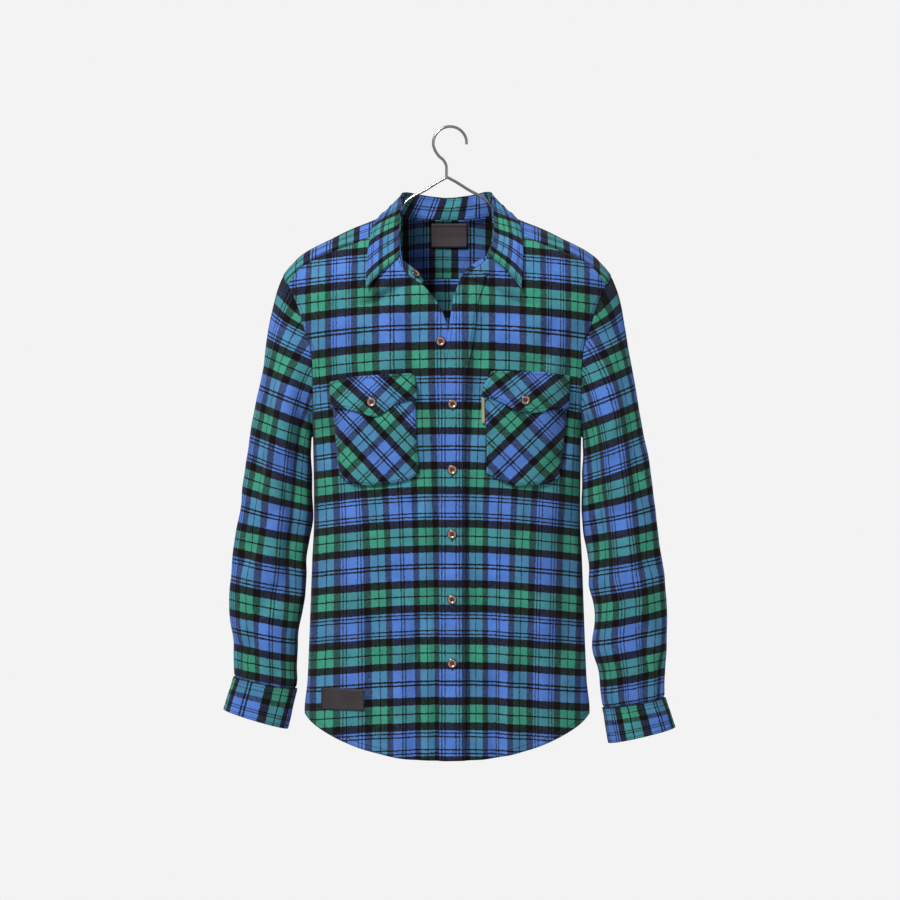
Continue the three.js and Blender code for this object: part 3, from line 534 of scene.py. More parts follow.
# %% Making a sheet
def link_piece(name, mesh, material, slot):
    """Turns a bmesh into a finished piece of the object."""
    data = bpy.data.meshes.new(name)
    mesh.to_mesh(data)
    mesh.free()
    data.materials.append(material)
    data.shade_smooth()
    made = bpy.data.objects.new(name, data)
    bpy.context.collection.objects.link(made)
    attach(made, "root")
    return made


def thicken(piece, thick):
    wall = piece.modifiers.new("wall", "SOLIDIFY")
    wall.thickness = thick * MM
    wall.offset = 0


def grid_mesh(columns, rows, rule, pattern, closed=False):
    """rule(across, up) gives a point in mm, pattern(across, up, point) the cloth's mm."""
    mesh = bmesh.new()
    bmesh.ops.create_grid(mesh, x_segments=columns, y_segments=rows, size=0.5)
    uv = mesh.loops.layers.uv.new("cloth")
    for vert in mesh.verts:
        across, up = vert.co.x + 0.5, vert.co.y + 0.5
        vert.co = rule(across, up)
        u, v = pattern(across, up, vert.co)
        for loop in vert.link_loops:
            loop[uv].uv = (u * MM * WARP_SHARE, v * MM)
        vert.co *= MM
    if closed:
        bmesh.ops.remove_doubles(mesh, verts=mesh.verts, dist=1e-5)
    return mesh


def cloth(name, mesh, node, thick=CLOTH, flip=False):
    """Finishes a grid as a sheet of flannel."""
    if flip:
        bmesh.ops.reverse_faces(mesh, faces=mesh.faces)
    area = sum(face.calc_area() for face in mesh.faces)
    made = link_piece(name, mesh, FLANNEL, "flannel")
    thicken(made, thick)
    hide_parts(node)
    print(name, len(made.data.polygons), "faces,", round(area * 1e4), "square cm")
    return made


# %% [markdown]
# ## Hanger
# One length of round chrome wire, bent to a hook, and a second for the arms under the shoulders.

# %% Hanger
WIRE = 4
HOOK_RADIUS = 23
ARM_HALF = [
    (6, -71), (30, -85.5), (54, -99.5), (60, -106.5), (64.5, -117), (69, -124.5), (77, -130.5),
    (91, -134), (106, -138), (125, -145.5), (143, -153.5), (160, -162), (177, -170.5),
    (192, -179), (204, -187.5),
]
hook_angles = [math.radians(-4 + 15 * i) for i in range(14)]
hook_bend = [(HOOK_RADIUS * math.cos(a), WIRE / 2 - HOOK_RADIUS + HOOK_RADIUS * math.sin(a))
             for a in hook_angles]
HOOK = hook_bend + [(-16, -38), (-9, -44.5), (-5.2, -52), (-4.8, -60), (-4.8, -69)]
ARMS = ([(AXIS - x, z) for x, z in reversed(ARM_HALF)] + [(AXIS, -68.5)]
        + [(AXIS + x, z) for x, z in ARM_HALF])

# Drawn steel wire, chrome plated: a mirror with fine drawing marks along it.
chrome, tree = new_material("chrome_plated_wire")
finish_material(tree, linear("#75706f"), remap(tree, grain(tree, 700, 2), 0, 1, 0.12, 0.28),
                Metallic=1.0)

wire_curve = bpy.data.curves.new("wire_hanger", "CURVE")
wire_curve.dimensions = "3D"
wire_curve.bevel_depth = WIRE / 2 * MM
wire_curve.bevel_resolution = 4
wire_curve.use_fill_caps = True
for line in (HOOK, ARMS):
    spline = wire_curve.splines.new("BEZIER")
    spline.bezier_points.add(len(line) - 1)
    for bezier, (x, z) in zip(spline.bezier_points, line):
        bezier.co = (x * MM, 0, z * MM)
        bezier.handle_left_type = bezier.handle_right_type = "AUTO"
wire_curve.materials.append(chrome)
hanger = bpy.data.objects.new("wire_hanger", wire_curve)
bpy.context.collection.objects.link(hanger)
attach(hanger, "root")
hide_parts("hanger")
print("wire", len(HOOK) + len(ARMS), "points")

# %% [markdown]
# ## Fronts and back
# A front runs from its own edge to the side seam and from the hem up to the yoke. Its stripes are
# placed down the middle of the shirt, and sag towards the sides as the cloth falls round the body.

# %% Cloth coordinates of the body
SAG = 15
WEFT_ROWS = table("z phase", [
    (-130, -123), (-234.3, -22.85), (-321, 60.65), (-401.2, 140.75), (-481.4, 224.25),
    (-560.4, 304.35), (-641.3, 387.85), (-718.2, 467.95), (-799.3, 551.45), (-880, 632),
])
# Distance from the middle of the shirt to the three green stripes of each front.
GREEN_COLUMNS = {
    "left": table("z inner middle outer", [
        (-326, 36.4, 111.5, 174.5), (-570, 28.3, 93.6, 164.1), (-782, 25.5, 89.2, 166),
    ]),
    "right": table("z inner middle outer", [
        (-326, 45.6, 117, 177), (-570, 38.4, 101.2, 168), (-782, 39.1, 97.1, 163),
    ]),
}
GREEN_PHASES = (SECOND_GREEN - REPEAT, FIRST_GREEN, SECOND_GREEN)


def weft_at(x, z):
    return WEFT_ROWS.phase(z + SAG * min(1.2, (x / BODY.half(z)) ** 2))


def warp_at(side, x, z):
    lines = GREEN_COLUMNS[side]
    places = [lines.inner(z), lines.middle(z), lines.outer(z)]
    part = 0 if abs(x) < places[1] else 1
    slope = (GREEN_PHASES[part + 1] - GREEN_PHASES[part]) / (places[part + 1] - places[part])
    return GREEN_PHASES[part] + (abs(x) - places[part]) * slope


# %% Fronts
LOWER_SHARE = 0.58  # part of a panel's grid that lies below the underarm
BAND_WIDTH = 34.5
LAP_START, LAP_EASE = -34, 20  # where the under front begins to pass under the upper one


def side_limit(face, z):
    full = BODY.half(z)
    return full if z < UNDERARM else min(full, getattr(ARMHOLE, face)(z))


def under_lift(x):
    """The under front lies a little deeper where the upper one laps over it."""
    return -UNDER_LAP * ease((x - LAP_START) / LAP_EASE)


def panel(face, edges, hem, top, lift):
    """A rule for a panel between two upright edges, from the hem to its top seam."""
    def rule(across, up):
        lower = up <= LOWER_SHARE
        rise = up / LOWER_SHARE if lower else (up - LOWER_SHARE) / (1 - LOWER_SHARE)

        def place(z):
            start, end = edges(z)
            wide = spread(z)
            return wide * across_at(lerp(share_at(start / wide), share_at(end / wide), across))

        def too_high(z):
            x = abs(place(z))
            target = lerp(hem(x), UNDERARM, rise) if lower else lerp(UNDERARM, top(x), rise)
            return z - target
        z = solve(LOWEST, HIGHEST, too_high)
        x = place(z)
        return on_body(face, x, z, lift(x, z))
    return rule


FRONT_RULE = {
    "left": panel("front", lambda z: (-side_limit("front", z), FRONT_EDGE["left"].x(z)),
                  HEM.front, YOKE_SEAM.z, lambda x, z: under_lift(x)),
    "right": panel("front", lambda z: (FRONT_EDGE["right"].x(z), side_limit("front", z)),
                   HEM.front, YOKE_SEAM.z, lambda x, z: 0),
}
for side in ("left", "right"):
    cloth(f"front_{side}_cloth",
          grid_mesh(64, 170, FRONT_RULE[side],
                    lambda a, b, p, side=side: (warp_at(side, p.x - AXIS, p.z),
                                                weft_at(p.x - AXIS, p.z))),
          f"front_{side}")

# %% Back
def back_seam(x):
    """Height of the seam between the yoke and the back, which curves down to the armholes."""
    return -204 - 46 * clamp(abs(x) / 222) ** 2.2


back_rule = panel("back", lambda z: (-side_limit("back", z), side_limit("back", z)),
                  HEM.back, back_seam, lambda x, z: 0)
cloth("back_cloth",
      grid_mesh(84, 130, back_rule,
                lambda a, b, p: (BROAD_BLUE + (a - 0.5) * 2 * QUARTER_RUN / WARP_SHARE,
                                 weft_at(p.x - AXIS, p.z))),
      "back", flip=True)

# %% [markdown]
# ## Yoke
# The yoke is one piece that lies over both shoulders. Its forward seams show on the chest, and its
# neckline carries the collar. It is drawn by angle round a line under each shoulder: zero is
# straight up, and a positive angle leans to the back.

# %% Yoke
YOKE_NECK = table("share x degrees", [
    (0, 70, -23), (0.2, 70, -6), (0.4, 68, 8), (0.6, 58, 19.5), (0.8, 32, 26), (1, 0, 28.5),
])
YOKE_REACH, YOKE_TURN = 216, 112
YOKE_BEND, YOKE_TIP, YOKE_LIFT = 0.7, 8.8, 0.5
SEAM_PART = 2 / 3  # share of a half yoke's columns that start at the forward seam


def yoke_centre(x):
    return back_seam(x) - 10


def angle_of(p):
    return math.atan2(p.y, p.z - yoke_centre(p.x - AXIS))


def yoke_point(x, angle, lift=0.0):
    centre = yoke_centre(x)
    face = "front" if angle < 0 else "back"
    radius = solve(5, 200, lambda r: outside(
        face, x, r * math.sin(angle), centre + r * math.cos(angle)) - 1)
    sunk = relief(face, x, centre + radius * math.cos(angle)) * min(1, abs(angle)) * 0.7
    radius += lift + sunk
    return Vector((AXIS + x, radius * math.sin(angle), centre + radius * math.cos(angle)))


def plain_point(face, x, z):
    """A place on the body without its folds."""
    return Vector((AXIS + x, SIGN[face] * profile_at(x, z) * getattr(BODY, face)(z), z))


def yoke_line(side, share):
    """Start and end of one column of the yoke: x and angle at each."""
    if share <= SEAM_PART:
        back_x = lerp(YOKE_REACH, YOKE_TURN, share / SEAM_PART)
        across = share / SEAM_PART
        start = FRONT_RULE[side](across if side == "left" else 1 - across, 1)
        start_x = abs(start.x - AXIS)
        start_angle = angle_of(plain_point("front", start_x, YOKE_SEAM.z(start_x)))
    else:
        back_x = YOKE_TURN * (1 - share) / (1 - SEAM_PART)
        neck = (share - SEAM_PART) / (1 - SEAM_PART)
        start_x = YOKE_NECK.x(neck)
        start_angle = math.radians(YOKE_NECK.degrees(neck))
    end_angle = angle_of(plain_point("back", back_x, back_seam(back_x)))
    return start_x, back_x, start_angle, end_angle


YOKE_LINES = {}


def yoke_rule(across, up):
    """across runs from the left armhole to the right one, up from the neckline to the back."""
    side = "left" if across < 0.5 else "right"
    share = 1 - abs(across - 0.5) * 2
    key = (side, round(share, 5))
    if key not in YOKE_LINES:
        YOKE_LINES[key] = yoke_line(side, share)
    start_x, back_x, start_angle, end_angle = YOKE_LINES[key]
    tip = YOKE_TIP * math.sin(math.pi * up ** 0.69) * (1 - share) ** 6
    x = lerp(start_x, back_x, up ** YOKE_BEND) + tip
    return yoke_point(WAY[side] * x, lerp(start_angle, end_angle, up), YOKE_LIFT)


YOKE_COLUMNS = table("x phase", [
    (-216, -277), (-207, -266.55), (-138, -186.45), (-6.3, -22.85), (35, 18.9), (148, 140.75),
    (216, 221),
])
YOKE_RADIUS = 100


def yoke_pattern(across, up, p):
    return (FIRST_GREEN + angle_of(p) * YOKE_RADIUS / WARP_SHARE,
            YOKE_COLUMNS.phase(p.x - AXIS))


cloth("yoke_cloth", grid_mesh(120, 36, yoke_rule, yoke_pattern), "yoke")

# %% [markdown]
# ## Sleeves
# A sleeve is a tube set into the armhole. Its rings are placed from the outer and inner edges seen
# from the front. The first rings keep the armhole's own line and the rest settle to a rounded
# section. Its stripes hang square to the arm, so they slope down towards the body at the top.

# %% Sleeve form
UPPER_ARM = [
    (0, 225.5, -204, 184.5, -425, 47, 46), (1, 235, -229, 187.6, -428, 47, 47),
    (2, 242.5, -262, 188, -436, 49, 49), (3, 249, -300, 188.5, -448, 50, 51),
    (4, 256.5, -345, 189, -466, 51, 53), (5, 266, -395, 189.5, -490, 50, 54),
    (6, 273.5, -445, 190, -520, 49, 54), (7, 280.5, -495, 192, -553, 48, 53),
    (8, 287, -545, 195, -590, 47, 51), (9, 292.5, -590, 195.5, -628, 45, 48),
]
FOREARM = {
    "left": [
        (10, 296.5, -635, 201, -668, 43, 45), (11, 297, -675, 206, -702, 40, 42),
        (12, 295.5, -710, 206.5, -732, 36, 38), (13, 294, -740, 206.5, -756, 31, 33),
        (14, 293.5, -756.5, 209, -773, 28, 30),
    ],
    "right": [
        (10, 298.5, -640, 205, -672, 43, 45), (11, 301.5, -685, 202, -712, 40, 42),
        (12, 301.5, -728, 209, -750, 36, 38), (13, 300.8, -768, 212, -784, 31, 33),
        (14, 300, -785.5, 216, -799.5, 28, 30),
    ],
}
SLEEVE = {side: table("ring outer_x outer_z inner_x inner_z front back", UPPER_ARM + rows)
          for side, rows in FOREARM.items()}
OUTER_EDGE = {side: table("z x", [(row[2], row[1]) for row in UPPER_ARM + rows])
              for side, rows in FOREARM.items()}
LAST_RING = 14
SETTLED_RING = 4.5
TUBE_ROUNDNESS = 2.15
SLEEVE_COLUMNS = 96

# Folds by their place round the sleeve and its ring: start, end, width round, height.
SLEEVE_FOLDS = [
    (0, 3.2, 0, 8.6, 0.06, 4.5),
    (1, 3.2, 1, 8.6, 0.06, 4.5),
    (0.135, 1.5, 0.135, 10.5, 0.06, -12),
    (0.25, 1.0, 0.28, 11.0, 0.05, 6),
    (0.36, 2.0, 0.33, 8.0, 0.035, -5),
    (0.42, 5.0, 0.44, 12.0, 0.05, 4),
    (0.22, 6.5, 0.38, 9.5, 0.04, -6),
    (0.2, 9.0, 0.36, 12.5, 0.04, -6),
    (0.3, 4.0, 0.18, 7.0, 0.03, -4),
    (0.3, 11.2, 0.3, 14.4, 0.03, -5),
    (0.4, 11.6, 0.41, 14.4, 0.03, -4),
    (0.19, 11.8, 0.2, 14.4, 0.03, -4),
    (0.74, 1.5, 0.72, 11.0, 0.07, -7),
    (0.64, 3.0, 0.6, 12.0, 0.05, 4),
    (0.85, 4.0, 0.8, 12.5, 0.05, -4),
    (0.68, 11.5, 0.68, 14.4, 0.03, -5),
    (0.8, 11.8, 0.81, 14.4, 0.03, -4),
]


def sleeve_fold(turn, ring):
    total = 0
    for turn0, ring0, turn1, ring1, width, height in SLEEVE_FOLDS:
        along = (ring - ring0) / (ring1 - ring0)
        if 0 < along < 1:
            across = (turn - lerp(turn0, turn1, along)) / width
            total += height * bump(across) * ease(along * 4) * ease((1 - along) * 4)
    return total


def armhole_loop(side):
    """The closed line of an armhole, from the underarm up the front and down the back."""
    outer = 0 if side == "left" else 1
    rising = [lerp(LOWER_SHARE, 1, i / 40) for i in range(41)]
    front = [FRONT_RULE[side](outer, up) for up in rising]
    over = [yoke_rule(outer, i / 24) for i in range(1, 24)]
    back = [back_rule(outer, up) for up in reversed(rising[1:])]
    return front + over + back + front[:1]


def power(value, exponent):
    return math.copysign(abs(value) ** exponent, value)


def tube_ends(side, size, key):
    """The outer and the inner end of a tube's section, as seen from the front."""
    return [Vector((AXIS + WAY[side] * x(key), 0, z(key)))
            for x, z in ((size.outer_x, size.outer_z), (size.inner_x, size.inner_z))]


INSIDE_CUFF = 0.3  # rings of sleeve that go on inside the cuff
CUFF_TUCK, CUFF_DROP, SEAM_TUCK, SEAM_RINGS = 2.2, 14, 1.2, 0.35


def sleeve_rule(side):
    size = SLEEVE[side]
    loop = armhole_loop(side)
    runs = runs_of(loop)
    top, bottom = tube_ends(side, size, 0)
    down = bottom - top
    out = Vector((-down.z, 0, down.x)).normalized()

    def rule(across, up):
        ring = (1 - up) * (LAST_RING + INSIDE_CUFF)
        settle = ease(ring / SETTLED_RING)
        own = point_at(loop, runs, across % 1) - top
        start, end = tube_ends(side, size, ring)
        span = end - start
        square = Vector((-span.z, 0, span.x)).normalized()
        angle = 2 * math.pi * across
        bulge = -size.front(ring) if math.sin(angle) > 0 else size.back(ring)
        round_share = (1 + power(math.cos(angle), 2 / TUBE_ROUNDNESS)) / 2
        round_y = bulge * abs(math.sin(angle)) ** (2 / TUBE_ROUNDNESS)
        placed = start + span * lerp(own.dot(down) / down.length_squared, round_share, settle)
        placed += square * own.dot(out) * (1 - settle)
        placed.y += lerp(own.y, round_y, settle)
        outwards = (placed - (start + end) / 2).normalized()
        tuck = (CUFF_TUCK * ease((ring - LAST_RING + 0.25) / INSIDE_CUFF)
                + SEAM_TUCK * (1 - ease(ring / SEAM_RINGS)))
        placed += outwards * (sleeve_fold(across, ring) - tuck
                              + crumple(placed.x, placed.y, placed.z) * ease(ring / 2))
        placed.z -= max(0, ring - LAST_RING) * CUFF_DROP
        return placed
    return rule


# Slope of the sleeve's stripes down towards the body, by height.
STRIPE_SLOPE = table("z slope", [
    (-228, 0.86), (-255, 0.84), (-281, 0.62), (-315, 0.47), (-400, 0.37), (-481, 0.34),
    (-520, 0.28), (-566, 0.2), (-800, 0.19),
])
SLEEVE_WEFT = table("z phase", [
    (-227.6, -102.95), (-314.3, -22.85), (-400, 60.65), (-481.1, 140.75), (-565.6, 224.25),
    (-649.6, 304.35), (-731.3, 387.85), (-810, 467.95),
])
SLEEVE_GIRTH = 300
SLEEVE_WARP = {"left": FIRST_GREEN + 58, "right": PAIRED_BLUE + 89.5}


def sleeve_pattern(side):
    edge = OUTER_EDGE[side]

    def pattern(across, up, p):
        x = abs(p.x - AXIS)
        z = p.z + STRIPE_SLOPE.slope(p.z) * (edge.x(p.z) - x)
        u = (across - 0.5) * SLEEVE_GIRTH / WARP_SHARE + SLEEVE_WARP[side]
        return u, SLEEVE_WEFT.phase(z)
    return pattern


# %% Sleeves
SLEEVE_RULE = {side: sleeve_rule(side) for side in SLEEVE}
for side in SLEEVE:
    cloth(f"sleeve_{side}_cloth",
          grid_mesh(SLEEVE_COLUMNS, 140, SLEEVE_RULE[side], sleeve_pattern(side), closed=True),
          f"sleeve_{side}")

# %% [markdown]
# ## Cuffs
# A cuff is two layers of cloth turned at its edges. It wraps the sleeve's gathered end and laps
# over itself at the back of the wrist, and its stripes are turned a quarter from the sleeve's.

# %% Cuffs
CUFF = {
    "left": table("down outer_x outer_z inner_x inner_z deep", [
        (0, 294, -757, 208.6, -773.5, 29), (0.5, 301, -780, 215, -801, 30),
        (1, 307, -802, 221.5, -828, 31),
    ]),
    "right": table("down outer_x outer_z inner_x inner_z deep", [
        (0, 300.4, -786, 215.6, -800, 29), (0.5, 308, -806.5, 219.6, -824, 30),
        (1, 314.5, -826.5, 223.6, -848, 31),
    ]),
}
CUFF_START, CUFF_LAP, CUFF_ROUNDNESS = 0.78, 0.1, 2.2
CUFF_DEPTH, CUFF_CLEAR, CUFF_SPIRAL = 65, 0.6, 1
# Where round the cuff a stripe lies, which stripe, and how fast they follow each other.
CUFF_STRIPES = {"left": (0.368, BROAD_BLUE, 290), "right": (0.398, BROAD_BLUE + 20.9, 340)}


def cuff_point(side, turn, down, lift):
    start, end = tube_ends(side, CUFF[side], down)
    centre = (start + end) / 2
    lift += crumple(turn * 250, 90 * WAY[side], down * 70) * 0.5
    reach = (start - end).length / 2 + lift
    angle = 2 * math.pi * turn
    placed = centre + (start - centre).normalized() * (
        power(math.cos(angle), 2 / CUFF_ROUNDNESS) * reach)
    placed.y -= power(math.sin(angle), 2 / CUFF_ROUNDNESS) * (CUFF[side].deep(down) + lift)
    return placed


def cuff_rule(side):
    return lambda across, up: cuff_point(
        side, CUFF_START + across * (1 + CUFF_LAP), 1 - up,
        lerp(-CUFF_SPIRAL, CUFF_SPIRAL, across) + CUFF_CLEAR)


def cuff_pattern(side):
    place, phase, rate = CUFF_STRIPES[side]
    return lambda across, up, p: (up * CUFF_DEPTH / WARP_SHARE, phase + (across - place) * rate)


for side in CUFF:
    cloth(f"cuff_{side}_cloth",
          grid_mesh(100, 14, cuff_rule(side), cuff_pattern(side)),
          f"cuff_{side}",
          thick=1.6, flip=side == "right")

# %% [markdown]
# ## Buttonhole band
# The upper front carries a folded band along its edge, on the straight grain. It is laid a layer
# above the front and keeps its width from the neck to the hem.

# %% Buttonhole band
def edge_heights(side):
    """Heights at the hem and at the neck where a front's own edge begins and ends."""
    edge = FRONT_EDGE[side].x
    foot = solve(LOWEST, UNDERARM, lambda z: z - HEM.front(abs(edge(z))))
    return foot, NECK_CORNER[side]


BAND_MIDDLE = 8
BAND_STRIPE_X = 4.6  # where the band's paired blue stripe lies
BAND_ROLL = 1.1  # how much higher the band is between its rolled edges


def band_rule(across, up):
    foot, head = edge_heights("right")
    z = lerp(foot, head, up)
    x = FRONT_EDGE["right"].x(z) + across * BAND_WIDTH
    z = lerp(HEM.front(abs(x)), head, up) if up < 0.02 else z
    rolled = 1 - abs(2 * across - 1) ** 8
    return on_body("front", x, z, LAYER + BAND_ROLL * rolled)


cloth("band_cloth",
      grid_mesh(24, 220, band_rule,
                lambda a, b, p: (PAIRED_BLUE + (p.x - AXIS - BAND_STRIPE_X) / WARP_SHARE,
                                 weft_at(BAND_MIDDLE, p.z))),
      "buttonhole_band")

# %% [markdown]
# ## Pockets and flaps
# The pocket bags and flaps are cut on the bias, so their tartan stands as diamonds. The bag has a
# pointed foot and the flap hangs over its mouth.

# %% Pockets and flaps
POCKET = {
    "left": dict(
        side=table("z outer inner", [(-350, -156, -44), (-388, -152, -43), (-482, -143, -38)]),
        foot=table("x z", [(-144, -477), (-135, -486), (-99, -492.5), (-56, -485.5),
                           (-42, -478), (-37, -472)]),
        flap_top=table("x z", [(-158, -352), (-138, -348), (-97, -343), (-51, -341), (-44, -345)]),
        flap_foot=table("x z", [(-155, -386), (-133, -389), (-94.5, -399), (-65, -382),
                                (-41, -375.5)]),
        flap_side=table("z outer inner", [(-343, -157.6, -44), (-386, -154, -41)]),
    ),
    "right": dict(
        side=table("z outer inner", [(-350, 162, 52.7), (-390, 160, 52.7), (-472, 151, 52.9)]),
        foot=table("x z", [(52.7, -475), (70, -484), (95, -493), (130, -490), (150, -485)]),
        flap_top=table("x z", [(49, -338.5), (79, -338), (108, -338.6), (145, -340.8),
                               (167, -343.5)]),
        flap_foot=table("x z", [(48, -369.5), (73, -380), (102, -394), (117, -394), (138, -390),
                                (163, -385)]),
        flap_side=table("z outer inner", [(-339, 166, 59.5), (-369, 164, 48.6),
                                          (-386, 162, 48.6)]),
    ),
}
POCKET_MOUTH = -364
FLAP_LIFT = LAYER + 0.6
FLAP_TURN = (3, 12)  # how far below its seam a flap starts to rise, and over what height
PUFF_CENTRE = {"left": -97, "right": 106}
PUFF = SimpleNamespace(height=3.5, half_wide=60, middle=-425, half_tall=75)
CLEAR = SimpleNamespace(middle=0.4, side=1.2, reach=170)


def panel_clear(x):
    """A flat layer needs more room towards the sides, where the body turns away."""
    return LAYER + CLEAR.middle + CLEAR.side * (abs(x) / CLEAR.reach) ** 4


def pocket_puff(side, x, z):
    wide = clamp(1 - ((x - PUFF_CENTRE[side]) / PUFF.half_wide) ** 2)
    tall = clamp(1 - ((z - PUFF.middle) / PUFF.half_tall) ** 2)
    return PUFF.height * math.sqrt(wide * tall)


def bag_lift(side):
    return lambda x, z: panel_clear(x) + pocket_puff(side, x, z)


def flap_lift(side):
    top = POCKET[side]["flap_top"].z
    return lambda x, z: (bag_lift(side)(x, z)
                         + FLAP_LIFT * ease((top(x) - FLAP_TURN[0] - z) / FLAP_TURN[1]))


def patch_place(edges, foot, top, across, up):
    """x and z in a four-sided patch between two upright edges, a foot and a top."""
    x, z = 0, lerp(-500, -350, up)
    for _ in range(12):
        start, end = sorted((edges.outer(z), edges.inner(z)))
        x = lerp(start, end, across)
        z = lerp(foot(x), top(x), up)
    return x, z


def patch_rule(edges, foot, top, lift):
    def rule(across, up):
        x, z = patch_place(edges, foot, top, across, up)
        return on_body("front", x, z, lift(x, z))
    return rule


# How each piece was laid on the bias: for the threads along and across it, which stripe passes
# through which place of the shirt, the way that the stripes follow each other, and their scale.
BIAS = {
    "left": dict(
        bag=((BROAD_BLUE, -89, -455.2, -0.707, 0.707, WARP_SHARE),
             (BROAD_BLUE, -89, -455.2, 0.725, 0.688, 0.883)),
        flap=((FIRST_GREEN, -82.2, -375.2, -0.707, 0.707, WARP_SHARE),
              (PAIRED_BLUE, -101, -361.1, 0.66, 0.75, 0.9))),
    "right": dict(
        bag=((BROAD_BLUE, 81.4, -460.8, 0.707, 0.707, 0.92),
             (BROAD_BLUE, 81.4, -460.8, -0.694, 0.72, 0.91)),
        flap=((FIRST_GREEN, 89.4, -358.8, 0.745, 0.667, WARP_SHARE),
              (PAIRED_BLUE, 93.9, -360, -0.62, 0.785, 0.9))),
}


def bias_pattern(laid):
    def pattern(across, up, p):
        return [phase + ((p.x - x) * way_x + (p.z - z) * way_z) / scale
                for phase, x, z, way_x, way_z, scale in laid]
    return pattern


POCKET_RULES = []
for side, shape in POCKET.items():
    bag = patch_rule(shape["side"], shape["foot"].z, lambda x: POCKET_MOUTH, bag_lift(side))
    flap = patch_rule(shape["flap_side"], shape["flap_foot"].z, shape["flap_top"].z,
                      flap_lift(side))
    POCKET_RULES.append((bag, flap))
    cloth(f"pocket_{side}_cloth", grid_mesh(34, 34, bag, bias_pattern(BIAS[side]["bag"])),
          f"pocket_{side}")
    cloth(f"flap_{side}_cloth", grid_mesh(34, 18, flap, bias_pattern(BIAS[side]["flap"])),
          f"flap_{side}")

# %% [markdown]
# ## Collar
# The collar is a stand sewn round the neckline and a leaf that folds down over it. The neckline is
# taken from the edges of the fronts and the yoke, so the stand meets them everywhere.

# %% Neckline
def neck_edge(side):
    """A front's own edge from the neck corner up to the yoke."""
    across = 1 if side == "left" else 0
    points = [FRONT_RULE[side](across, lerp(LOWER_SHARE, 1, i / 60)) for i in range(61)]
    return [p for p in points if p.z > NECK_CORNER[side]]


NECK = (neck_edge("left")
        + [yoke_rule(lerp(1 / 3, 2 / 3, i / 60), 0) for i in range(1, 60)]
        + neck_edge("right")[::-1])
NECK_RUNS = runs_of(NECK)


def neck_point(share):
    return point_at(NECK, NECK_RUNS, clamp(share))


print("neckline", round(NECK_RUNS[-1]), "mm")

# %% Stand and leaf
STAND_TOP = table("share x y z", [
    (0, -31, -58, -216), (0.04, -46, -60, -198), (0.075, -62, -64, -184),
    (0.16, -63.5, -45, -148), (0.26, -62, -12, -106), (0.3, -60, 8, -91), (0.36, -52, 32, -87.5),
    (0.43, -30, 50, -90), (0.5, 0, 57.5, -92.5), (0.57, 30, 50, -90), (0.64, 51, 32, -87),
    (0.7, 59, 8, -90), (0.75, 61, -12, -106), (0.84, 62, -44, -146), (0.94, 54, -65, -181),
    (0.97, 40, -62, -190), (1, 25, -60, -200),
])
LEAF_EDGE = table("share x y z", [
    (0, -108, -84, -227), (0.09, -106, -60, -180), (0.18, -99, -30, -138), (0.26, -87, 0, -120),
    (0.35, -80, 30, -118), (0.43, -48, 58, -127), (0.5, 0, 70, -133), (0.57, 48, 58, -127),
    (0.65, 80, 30, -118), (0.74, 87, 0, -120), (0.82, 97, -30, -134), (0.91, 101.5, -58, -178),
    (1, 98.5, -84, -226),
])
LEAF_ENDS = (0.075, 0.94)
NECK_CENTRE_Y = -12
NECK_STEP = 0.006  # share of the neckline that its direction is taken over
STAND_CLEAR = 0.5
LEAF_DEPTH, STAND_DEPTH = 72, 34
STAND_STRIPE = FIRST_GREEN + 12.5  # at the middle of the back
# How far the leaf stands off the stand and the body, and how it bulges before and behind the
# shoulder, which is at a share of its length.
LEAF = SimpleNamespace(clear=2, rest=2.8, roll=1.6, bulge=5, shoulder=0.26, reach=0.14)
# Stripes along the leaf from its tip to the middle of the back.
LEAF_STRIPES = table("share phase", [
    (0, -25), (0.075, 18.9), (0.147, 60.65), (0.22, 100.7), (0.31, 140.75), (0.4, 182.5),
    (0.5, 224.25),
])


def on_table(rule, share):
    return Vector((AXIS + rule.x(share), rule.y(share), rule.z(share)))


def stand_point(share, up, lift=0.0):
    foot = neck_point(share)
    rise = on_table(STAND_TOP, share) - foot
    along = neck_point(share + NECK_STEP) - neck_point(share - NECK_STEP)
    placed = foot + rise * lerp(STAND_CLEAR / rise.length, 1, up)
    return placed - along.cross(rise).normalized() * lift


HALF_STEPS = [Vector((0.5, 0, 0)), Vector((0, 0.5, 0)), Vector((0, 0, 0.5))]


def rest_on(p, gap):
    """Lifts a point until it lies clear of the filled body."""
    def depth(q):
        return outside("front" if q.y < 0 else "back", q.x - AXIS, q.y, q.z)
    for _ in range(6):
        slope = Vector([depth(p + step) - depth(p - step) for step in HALF_STEPS])
        distance = (depth(p) - 1) / slope.length
        if distance < gap:
            p = p + slope.normalized() * (gap - distance)
    return p


def leaf_point(share, down):
    inner = on_table(STAND_TOP, lerp(*LEAF_ENDS, share))
    outer = on_table(LEAF_EDGE, share)
    away = Vector((inner.x - AXIS, inner.y - NECK_CENTRE_Y, 0)).normalized()
    from_shoulder = abs(min(share, 1 - share) - LEAF.shoulder) / LEAF.reach
    bulge = LEAF.bulge * ease(from_shoulder) * math.sin(math.pi * clamp(down)) ** 0.8
    placed = inner.lerp(outer, down) + away * (LEAF.clear + bulge)
    placed.z += LEAF.roll * (1 - clamp(down * 8)) ** 2
    return rest_on(placed, LEAF.rest)


cloth("stand_cloth",
      grid_mesh(120, 10, stand_point,
                lambda a, b, p: (b * STAND_DEPTH / WARP_SHARE,
                                 STAND_STRIPE - (a - 0.5) * NECK_RUNS[-1])),
      "collar_stand", thick=1.8, flip=True)
cloth("leaf_cloth",
      grid_mesh(130, 22, lambda a, b: leaf_point(a, 1 - b),
                lambda a, b, p: (b * LEAF_DEPTH / WARP_SHARE,
                                 LEAF_STRIPES.phase(min(a, 1 - a)))),
      "collar_leaf", thick=1.6)

